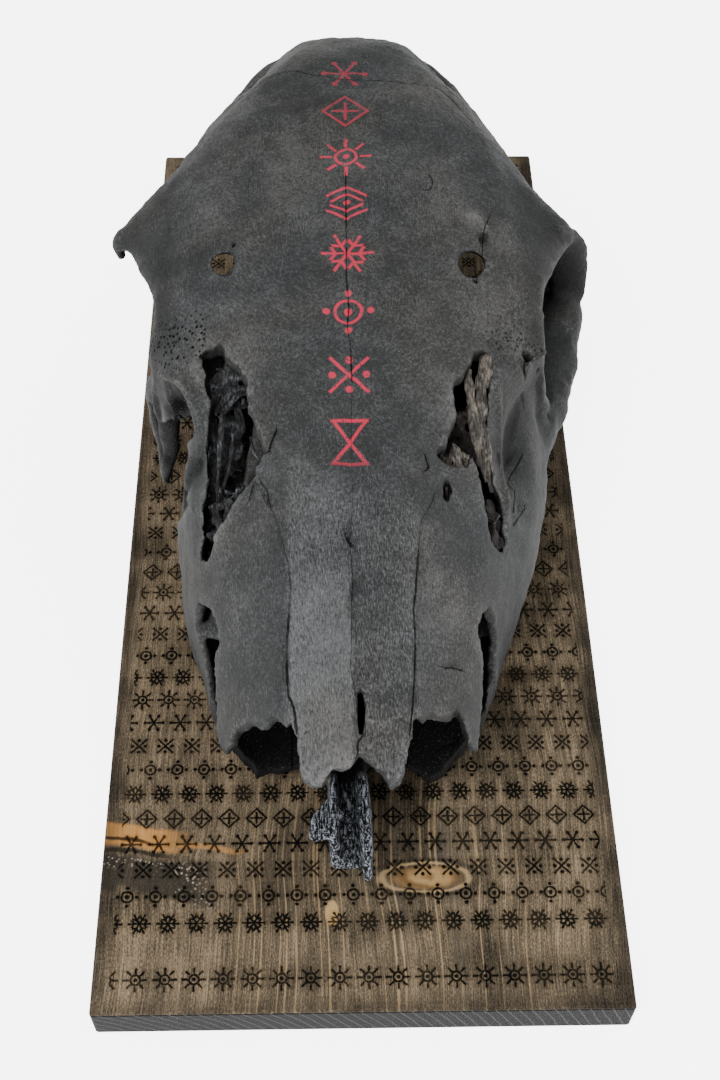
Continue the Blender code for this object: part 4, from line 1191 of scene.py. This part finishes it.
    roughness = f["roughness"] + (fine - 0.5) * 0.25 + (1 - streak) * 0.08 - standing.fade(0.2, 0.8) * 0.08
    relief = (fibre * 0.6 + fine * 0.4 + speck * 0.25 + middle * 0.4 - crack * 1.2 - pit * 0.9 + gritAndGlint * 0.6
              + sign * 0.06)
    normal = paint.bump(relief, 0.6, 0.0010)
    return paint.finish(colour, roughness, normal, Specular_IOR_Level=0.07)


def makeTooth(name, side, front, length, outer, width):
    # A cheek tooth crown: two lobes with ribs on the cheek side, worn to a dished biting face.
    f = toothForm
    middle, centre = front + length / 2, outer - width / 2
    rings = []
    for z, scale in f["levels"]:
        ring = []
        for k in range(f["sides"]):
            angle = math.tau * k / f["sides"]
            cosine, sine = math.cos(angle), math.sin(angle)
            x, y = boxy(cosine, 0.66) * width / 2, boxy(sine, 0.60) * length / 2
            along = y / length
            if cosine > 0:
                # Cheek side: three ribs at the lobes' ends and two low ones between
                pinch = 0.88 + 0.07 * math.exp(-(((abs(along) - f["lowRibs"]) / 0.05) ** 2))
                pinch += 0.15 * max(math.exp(-(((along - rib) / 0.045) ** 2)) for rib in f["ribs"])
            else:
                pinch = 1 - 0.26 * math.exp(-((along / 0.07) ** 2))
            lift = (0.5 + 0.5 * math.cos(along * math.tau * 2)) * (3.0 if cosine > 0 else 1.8)
            lift *= min(max((5.5 - z) / 5, 0), 1) if scale > 0.7 else 0.3
            ring.append((side * (centre + x * scale * pinch), middle + y * scale, z + lift))
        rings.append(ring)
    tooth = loft(name, rings)
    p, n = toSkull(getPlaces(tooth)), getNormals(tooth)
    worn = np.minimum(wobble(p, 3.2, 2.0), 0) * f["unevenness"]
    setPlaces(tooth, toWorld(p + n * worn[:, None]))
    modify(tooth, "SUBSURF", levels=1, render_levels=1)
    return tooth


def makeTeeth():
    f = toothForm
    for side, word in ((1, "right"), (-1, "left")):
        front = f["rowFront"]
        for number, (length, width) in enumerate(f["sizes"]):
            node = f"tooth_{word}_{number + 1}"
            tooth = makeTooth(f"{word}Molar{number + 1}", side, front, length, f["rowOuter"][number], width)
            wear(tooth, enamel)
            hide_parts(node)
            front += length + f["gap"]


def wear(item, material):
    activate(item)
    bpy.ops.object.shade_smooth()
    item.data.materials.clear()
    item.data.materials.append(material)
    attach(item, "root")


def enamelMaterial():
    paint = Paint("blackenedEnamel")
    ridges = paint.noise(1.2, paint.turned(0, (1, 1, 9)), detail=3)
    patches = paint.noise(5, detail=3)
    z = paint.split(paint.place)[2]
    tone = patches * 0.6 + ridges * 0.4 - z.fade(24, 31) * 0.12
    colour = paint.ramp(tone, (0.3, (0.010, 0.009, 0.008)), (0.55, (0.035, 0.033, 0.031)),
                        (0.8, (0.10, 0.088, 0.07)))
    normal = paint.bump(ridges + patches * 0.4, 0.4, 0.0006)
    return paint.finish(colour, 0.38 + patches * 0.3, normal)


# Thin rolled and crumpled bones inside the nose, seen through the openings of the face
scrollForm = {
    "thickness": 0.8, "crumple": 4.2, "tear": 0.20,
    # side, path, half width at each point, turn of the sheet about its path, seed
    "sheets": (
        ("left", ((-43, -19, 103), (-43, -27, 97), (-45, -34, 92)), (5, 6, 4), 0, 1.0),
        ("left", ((-44, -24, 93), (-44, -36, 86), (-46, -50, 78), (-47, -60, 70)), (5, 7, 6, 4), 10, 9.0),
        ("left", ((-37, -32, 84), (-37, -46, 74), (-38, -58, 66), (-43, -68, 58)), (5, 6, 6, 5), -35, 2.0),
        ("left", ((-48, -32, 92), (-48, -46, 84), (-48.5, -58, 76), (-50, -70, 66)), (4, 5, 5, 3), 50, 3.0),
        ("left", ((-44, -60, 80), (-45, -68, 76), (-47, -76, 70)), (5, 6, 4), 5, 4.0),
        ("left", ((-38, -26, 70), (-40, -46, 60), (-43, -70, 48)), (12, 14, 12), 0, 5.0),
        ("right", ((42, -26, 88), (40, -42, 78), (38, -60, 70)), (7, 9, 8), 15, 6.0),
        ("right", ((37, -52, 92), (37, -58, 89), (36, -64, 86)), (4, 5, 3), 25, 7.0),
        ("right", ((49, -64, 76), (50.5, -72, 71), (52, -79, 67)), (2.5, 3, 2), -50, 8.0),
    ),
    # side, path, half width and half height at each point, how lumpy
    "rods": (
        ("left", ((-45, -36, 95), (-45.5, -46, 89), (-46.5, -56, 82), (-47, -64, 76)),
         ((0.7, 0.7), (1.0, 1.0), (0.8, 0.9), (0.5, 0.6)), 0.35),
        ("left", ((-41, -42, 92), (-42, -50, 86), (-45, -58, 79)), ((0.5, 0.6), (0.9, 0.8), (0.5, 0.5)), 0.4),
        ("left", ((-34.4, -50, 99), (-33.2, -55, 98), (-31.4, -58.5, 97.5)),
         ((0.4, 0.4), (0.7, 0.6), (0.4, 0.4)), 0.5),
        ("right", ((49.4, -19.5, 105.6), (48.6, -25, 103.6), (47.8, -30.5, 101.5)),
         ((2.6, 2.4), (3.1, 2.7), (1.6, 1.4)), 0.45),
        ("right", ((46.6, -26, 103), (46.4, -35, 100), (46.2, -44, 95.5), (46.8, -52, 89.5), (48.2, -59, 84)),
         ((1.4, 1.4), (2.4, 2.0), (2.5, 2.1), (2.0, 1.8), (0.6, 0.6)), 0.6),
        ("right",
         ((42.8, -25, 105), (42.2, -33, 103.6), (43.4, -41, 100.2), (44.6, -49, 95), (45.4, -56, 90)),
         ((1.0, 1.0), (1.7, 1.4), (1.6, 1.4), (1.5, 1.3), (0.7, 0.7)), 0.7),
        ("right", ((45.4, -38, 99.6), (47.8, -46, 95.2), (48.6, -54, 88.6), (50.2, -62, 82)),
         ((0.8, 0.8), (1.2, 1.1), (1.3, 1.1), (0.6, 0.6)), 0.6),
        ("right", ((36.5, -55, 97), (37.6, -59.5, 95.5), (39.6, -62, 92.5)),
         ((1.0, 1.0), (1.9, 1.6), (0.9, 0.9)), 0.8),
    ),
}


def crumpledSheet(name, path, widths, turn, seed):
    # A grid laid along a path, crumpled, with holes torn out of it.
    f = scrollForm
    points = splineThrough(path, 10)
    halves = splineThrough([(w, w) for w in widths], 10)[:, 0]
    deselectAll()
    bpy.ops.mesh.primitive_grid_add(x_subdivisions=26, y_subdivisions=48, size=2)
    sheet = takeNew(name)
    grid = getPlaces(sheet)
    t = (grid[:, 1] + 1) / 2
    steps = np.linspace(0, 1, len(points))
    centre = np.stack([np.interp(t, steps, points[:, axis]) for axis in range(3)], 1)
    half = np.interp(t, np.linspace(0, 1, len(halves)), halves)
    angle = math.radians(turn)
    across = np.array((math.cos(angle), 0, math.sin(angle)))
    out = np.array((-math.sin(angle), 0.5, math.cos(angle)))
    p = centre + across * (grid[:, :1] * half[:, None])
    fold = 1.6 * np.sin(grid[:, 0] * 4.2 + t * 3 + seed) + 1.2 * np.abs(np.sin(grid[:, 0] * 7 + t * 5))
    p += out * fold[:, None]
    crush = np.array([drift(Vector(q) * 0.13 + Vector((seed, 0, 0))) for q in p]) * f["crumple"]
    crush += np.array([drift(Vector(q) * 0.38 + Vector((0, seed, 0))) for q in p]) * f["crumple"] * 0.35
    setPlaces(sheet, toWorld(p + crush))
    torn = []
    for face in sheet.data.polygons:
        q = Vector(grid[face.vertices[0]]) * 2.1
        rim = max(abs(q.x), abs(q.y)) / 2.1
        patch = noise.noise(Vector((q.x * 1.6, q.y * 2.6, seed * 3.7)))
        torn.append(patch > f["tear"] + (0.25 - 0.45 * rim ** 6))
    deleteChosen(sheet, "FACE", torn)
    modify(sheet, "SOLIDIFY", thickness=f["thickness"] * mm, offset=0.0)
    modify(sheet, "SUBSURF", levels=1, render_levels=1)
    return sheet


def makeScrolls(material):
    f = scrollForm
    for word in ("left", "right"):
        items = [crumpledSheet(word + "Sheet", *sheet[1:]) for sheet in f["sheets"] if sheet[0] == word]
        items += [sweep(word + "Rod", path, sizes, "up", 20, 10, rough)
                  for side, path, sizes, rough in f["rods"] if side == word]
        wear(joinAll(items, word + "NoseScroll"), material)


def scrollMaterial():
    paint = Paint("nosePaper")
    x, _, z = paint.split(paint.place)
    broad = paint.noise(6, detail=4, roughness=0.65)
    fibre = paint.noise(0.6, paint.turned(0, (1, 5, 2)), detail=3)
    bare = x.fade(20, 36)
    tone = broad * 0.6 + fibre * 0.5
    sooty = paint.ramp(tone, (0.44, (0.0016, 0.0015, 0.0015)), (0.56, (0.012, 0.0125, 0.0135)),
                       (0.66, (0.055, 0.058, 0.062)), (0.78, (0.20, 0.20, 0.20)))
    tan = paint.ramp(tone, (0.40, (0.0050, 0.0044, 0.0038)), (0.54, (0.040, 0.035, 0.029)),
                     (0.66, (0.120, 0.106, 0.088)), (0.80, (0.30, 0.27, 0.23)))
    shade = z.fade(112, 96) * bare
    colour = paint.mix(bare, sooty, paint.mix(shade * 0.85, tan, (0.006, 0.0055, 0.0050)))
    relief = paint.bump(fibre + broad, 0.6, 0.0009)
    return paint.finish(colour, 0.6 + fibre * 0.2, relief, Specular_IOR_Level=0.25)


boardFinish = {
    "dark": (0.014, 0.0122, 0.0090), "middle": (0.096, 0.074, 0.048), "tan": (0.300, 0.226, 0.145),
    "light": (0.40, 0.275, 0.145), "burn": (0.0024, 0.0026, 0.0022), "darkKnot": (0.030, 0.018, 0.010),
    "tone": 0.505, "step": 9.9, "signHalf": 3.9, "stroke": 0.075, "signWide": 86.0, "signLong": 210.9,
    # Knots: x, y, half width, half length, how far the grain is pushed aside
    "knots": ((22.5, -170.5, 13.0, 4.6, 3.0), (-10.4, -183.0, 2.2, 4.4, 1.2), (-74, -162, 26, 6.0, -5.0),
              (62, -88, 6, 4.5, 2.5), (-30, 190, 8, 6, 3.0)),
}
boardSigns = ("sun", "diamond", "flake", "ringDots", "saltire", "star")


def woodMaterial():
    f = boardFinish
    paint = Paint("stainedWood")
    x, y, z = paint.split(paint.vector("ADD", paint.place, (0.0, 0.0, -skullPlace["boardTop"])))
    # The grain bends round the knots
    bend, rims = None, []
    for kx, ky, rx, ry, strength in f["knots"]:
        dx, dy = (x - kx) / rx, (y - ky) / ry
        away = (dx * dx + dy * dy).math("SQRT")
        rims.append(away)
        part = dx * (away + 0.6) ** -2.2 * strength
        bend = part if bend is None else bend + part
    sway = (paint.noise(80, detail=1) - 0.5) * 14
    across = x - bend + sway

    def grain(wide, long, deep, detail, roughness):
        # Noise drawn out along the board, from how fast it changes in each direction
        return paint.noise(1.0, paint.joined(across * wide, y * long, z * deep), detail, roughness)

    bands, lines = grain(0.085, 0.004, 0.08, 3, 0.6), grain(0.75, 0.005, 0.7, 1, 0.5)
    threads, pores = grain(2.0, 0.07, 2.0, 2, 0.6), grain(2.8, 0.9, 2.8, 3, 0.75)
    clouds = paint.noise(42, detail=3)
    smudge = paint.noise(13, detail=3)
    front = y.fade(-120, -190)
    heart = abs(x - 6).fade(66, 36)
    tone = (f["tone"] + (bands - 0.5) * 0.55 + (lines - 0.5) * 0.30 + (threads - 0.5) * 0.75
            + (pores - 0.5) * 1.25 - clouds.fade(0.45, 0.68) * 0.20 - (smudge - 0.5) * 0.30
            + x.fade(20, -70) * 0.07)
    stain = (bands - 0.5) * 1.4 + clouds - 0.2 + (pores - 0.5) * 0.5
    stain = stain.fade(0.35, 0.62) * heart * (0.25 + front * 0.6)
    colour = paint.ramp(tone, (0.16, f["dark"]), (0.5, f["middle"]), (0.86, f["tan"]))
    colour = paint.mix(stain * 0.75, colour, paint.mix(pores, (0.012, 0.012, 0.0105), (0.070, 0.064, 0.052)))
    pale = (lines + (threads - 0.5) * 0.10 + (pores - 0.5) * 0.08).fade(0.60, 0.655)
    colour = paint.mix(pale * heart * (0.10 + front * 0.9) * 0.55, colour, f["light"])
    # Pale knots with darker rims, and the torn knot with resin at the left edge
    ring = rims[0] + (smudge - 0.5) * 0.5
    swirl = (ring * 5 + (smudge - 0.5) * 9 + (threads - 0.5) * 2).math("SINE") * 0.5 + 0.5
    tan = paint.mix(swirl, (0.150, 0.085, 0.033), (0.36, 0.225, 0.098))
    colour = paint.mix(ring.fade(1.15, 0.75) * 0.85, colour, tan)
    colour = paint.mix(abs(ring - 1.2).fade(0.16, 0.03) * 0.6, colour, f["light"])
    colour = paint.mix(abs(ring - 1.5).fade(0.2, 0.04) * 0.45, colour, (0.018, 0.015, 0.010))
    spot = rims[1] + (smudge - 0.5) * 0.6
    colour = paint.mix(spot.fade(1.2, 0.85) * 0.9, colour, (0.44, 0.29, 0.125))
    colour = paint.mix(rims[3].fade(1.3, 0.5) * 0.5, colour, f["darkKnot"])
    colour = paint.mix(rims[4].fade(1.3, 0.5) * 0.6, colour, f["darkKnot"])
    drop = y + 151 + (x + 93).math("MAXIMUM", 0.0) ** 0.9 * 0.22 + (smudge - 0.5) * 5
    tongue = abs(drop).fade(5.0, 3.2) * x.fade(-58, -74)
    tail = abs(drop + 1.0).fade(1.6, 0.4) * x.fade(-36, -52) * 0.75
    orange = paint.mix(threads, (0.30, 0.115, 0.022), (0.62, 0.34, 0.12))
    colour = paint.mix(tongue.largest(tail) * 0.92, colour, orange)
    colour = paint.mix(abs(drop + 1.8).fade(1.0, 0.3) * x.fade(-66, -80) * 0.9, colour, (0.012, 0.007, 0.004))
    slit = abs(drop + 5.4 + (smudge - 0.5) * 3).fade(1.3, 0.4) * x.fade(-62, -74)
    colour = paint.mix(slit * 0.8, colour, (0.010, 0.008, 0.006))
    resin = abs(drop + 14.5 + (smudge - 0.5) * 9).fade(9.5, 6.0) * x.fade(-40, -62)
    colour = paint.mix(resin * 0.82, colour, paint.mix(pores, (0.006, 0.0055, 0.0050), (0.040, 0.036, 0.030)))
    specks = paint.node("ShaderNodeTexVoronoi", None, Vector=paint.place, Scale=0.75, Randomness=1.0)
    lumps = specks.fade(0.42, 0.2) * resin * smudge.fade(0.5, 0.6)
    colour = paint.mix(lumps * 0.85, colour, (0.36, 0.30, 0.235))

    # Burned signs in staggered rows, and one row of its own along the front
    down = (y + 211.0) / f["step"]
    row = down.math("FLOOR")
    v = (down - row - 0.5) * (f["step"] / f["signHalf"])
    shift = row.math("FLOORED_MODULO", 2.0) * 0.5
    column = (x + 92.0) / f["step"] - shift
    u = (column - column.math("FLOOR") - 0.5) * (f["step"] / f["signHalf"])
    blur = (paint.noise(1.3, detail=2) - 0.5) * 0.2
    marks = Marks(u, v)
    kind = (row + (row / 6.0).math("FLOOR")).math("FLOORED_MODULO", float(len(boardSigns)))
    away = None
    for index, name in enumerate(boardSigns):
        chosen = kind.math("COMPARE", float(index), 0.25)
        part = (getattr(marks, name)() - 2.0) * chosen
        away = part if away is None else away + part
    away = away + 2.0 + blur
    top = z.fade(-0.9, -0.3)
    area = (abs(x) < f["signWide"]) * (abs(y) < f["signLong"]) * (1 - row.math("COMPARE", 1.0, 0.25)) * top
    strength = 0.86 + paint.noise(22, detail=1).fade(0.4, 0.6) * 0.14
    halo = away.fade(0.45, 0.0) * area
    colour = paint.mix(halo * 0.5, colour, paint.mix(1.0, colour, (0.42, 0.38, 0.30), "MULTIPLY"))
    burn = away.fade(f["stroke"] + 0.055, f["stroke"] - 0.02) * area * strength
    colour = paint.mix(burn, colour, f["burn"])
    # Darker stain towards the edges, and a black stained rim with the end grain's arcs
    rim = (abs(x) + (smudge - 0.5) * 9).fade(82, 94).largest((abs(y) + (smudge - 0.5) * 9).fade(208, 221))
    colour = paint.mix(rim * 0.62, colour, (0.013, 0.0115, 0.0100))
    middle = ((x + 150) * (x + 150) + (z + 95) * (z + 95)).math("SQRT")
    arcs = ((middle + (smudge - 0.5) * 2) * 1.75).math("SINE") * 0.5 + 0.5
    arcs = arcs.fade(0.90, 1.0) * (0.3 + pores * 0.5) * abs(y).fade(217.0, 217.8)
    streaks = (pores * 0.6 + threads * 0.5).fade(0.4, 0.7)
    side = paint.mix(streaks, (0.0020, 0.0020, 0.0020), (0.0075, 0.0073, 0.0073))
    side = paint.mix(arcs, side, (0.050, 0.049, 0.048))
    colour = paint.mix(1 - top, colour, side)
    roughness = 0.66 + (threads - 0.5) * 0.3 + burn * 0.15 - resin * 0.15
    relief = lines * 0.3 + threads * 0.4 + pores * 0.6 - burn * 1.4 + lumps
    return paint.finish(colour, roughness, paint.bump(relief, 0.4, 0.0006), Specular_IOR_Level=0.03)


studio = {
    "place": (-0.008607, -0.38581, 0.51677), "lens": 50.01, "sensor": 36.0,
    "right": (0.99981804, -0.01679618, 0.00904277), "back": (-0.01719882, -0.58867014, 0.80819036),
    "floorColours": ((0.90, 0.90, 0.90), (0.94, 0.94, 0.94)), "floorSize": 8.0, "floorHeight": -0.0002,
    "key": ((-0.5, -0.9, 1.6), 1.0, 34.0), "fill": ((0.9, 0.3, 1.4), 1.4, 14.0),
    "world": 0.7, "floorGlow": 5.0,
}


def aimAt(item, target):
    item.rotation_mode = "QUATERNION"
    item.rotation_quaternion = (Vector(target) - item.location).to_track_quat("-Z", "Y")


def makeStudio():
    s = studio
    deselectAll()
    bpy.ops.object.camera_add(location=s["place"])
    camera = takeNew("photoCamera")
    right, back = Vector(s["right"]), Vector(s["back"])
    camera.rotation_mode = "QUATERNION"
    camera.rotation_quaternion = Matrix((right, back.cross(right), back)).transposed().to_quaternion()
    camera.data.lens, camera.data.sensor_width = s["lens"], s["sensor"]
    camera.data.clip_start, camera.data.clip_end = 0.01, 50
    camera.data.dof.use_dof = False
    bpy.context.scene.camera = camera

    for name in ("key", "fill"):
        place, size, power = s[name]
        bpy.ops.object.light_add(type="AREA", location=place)
        light = takeNew(name + "Light")
        light.data.shape, light.data.size, light.data.energy = "DISK", size, power
        aimAt(light, (0, 0, 0.05))

    deselectAll()
    bpy.ops.mesh.primitive_plane_add(size=s["floorSize"], location=(0, 0, s["floorHeight"]))
    floor = takeNew("paleFloor")
    paint = Paint("paleFloor")
    pale = paint.ramp(paint.noise(400, detail=2), *enumerate(s["floorColours"]))
    glow = {"Emission_Color": (1, 1, 1, 1), "Emission_Strength": s["floorGlow"]}
    floor.data.materials.append(paint.finish(pale, 0.9, **glow))
    bpy.ops.object.transform_apply(location=True, rotation=True, scale=True)

    world = bpy.data.worlds.new("softRoom")
    world.use_nodes = True
    background = world.node_tree.nodes["Background"]
    background.inputs["Color"].default_value = (1.0, 1.0, 1.0, 1.0)
    background.inputs["Strength"].default_value = s["world"]
    bpy.context.scene.world = world


makeStudio()
print("camera, lights and floor placed")
enamel = enamelMaterial()
bone = boneMaterial()
scroll = scrollMaterial()
wood = woodMaterial()
print("materials made")
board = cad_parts["board"]
skull = makeSkull()
measureBone(skull)
wear(skull, bone)
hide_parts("skull")
print("skull measured and painted")
makeTeeth()
print("teeth made")
makeScrolls(scroll)
print("nose scrolls made")
board.data.materials.clear()
board.data.materials.append(wood)
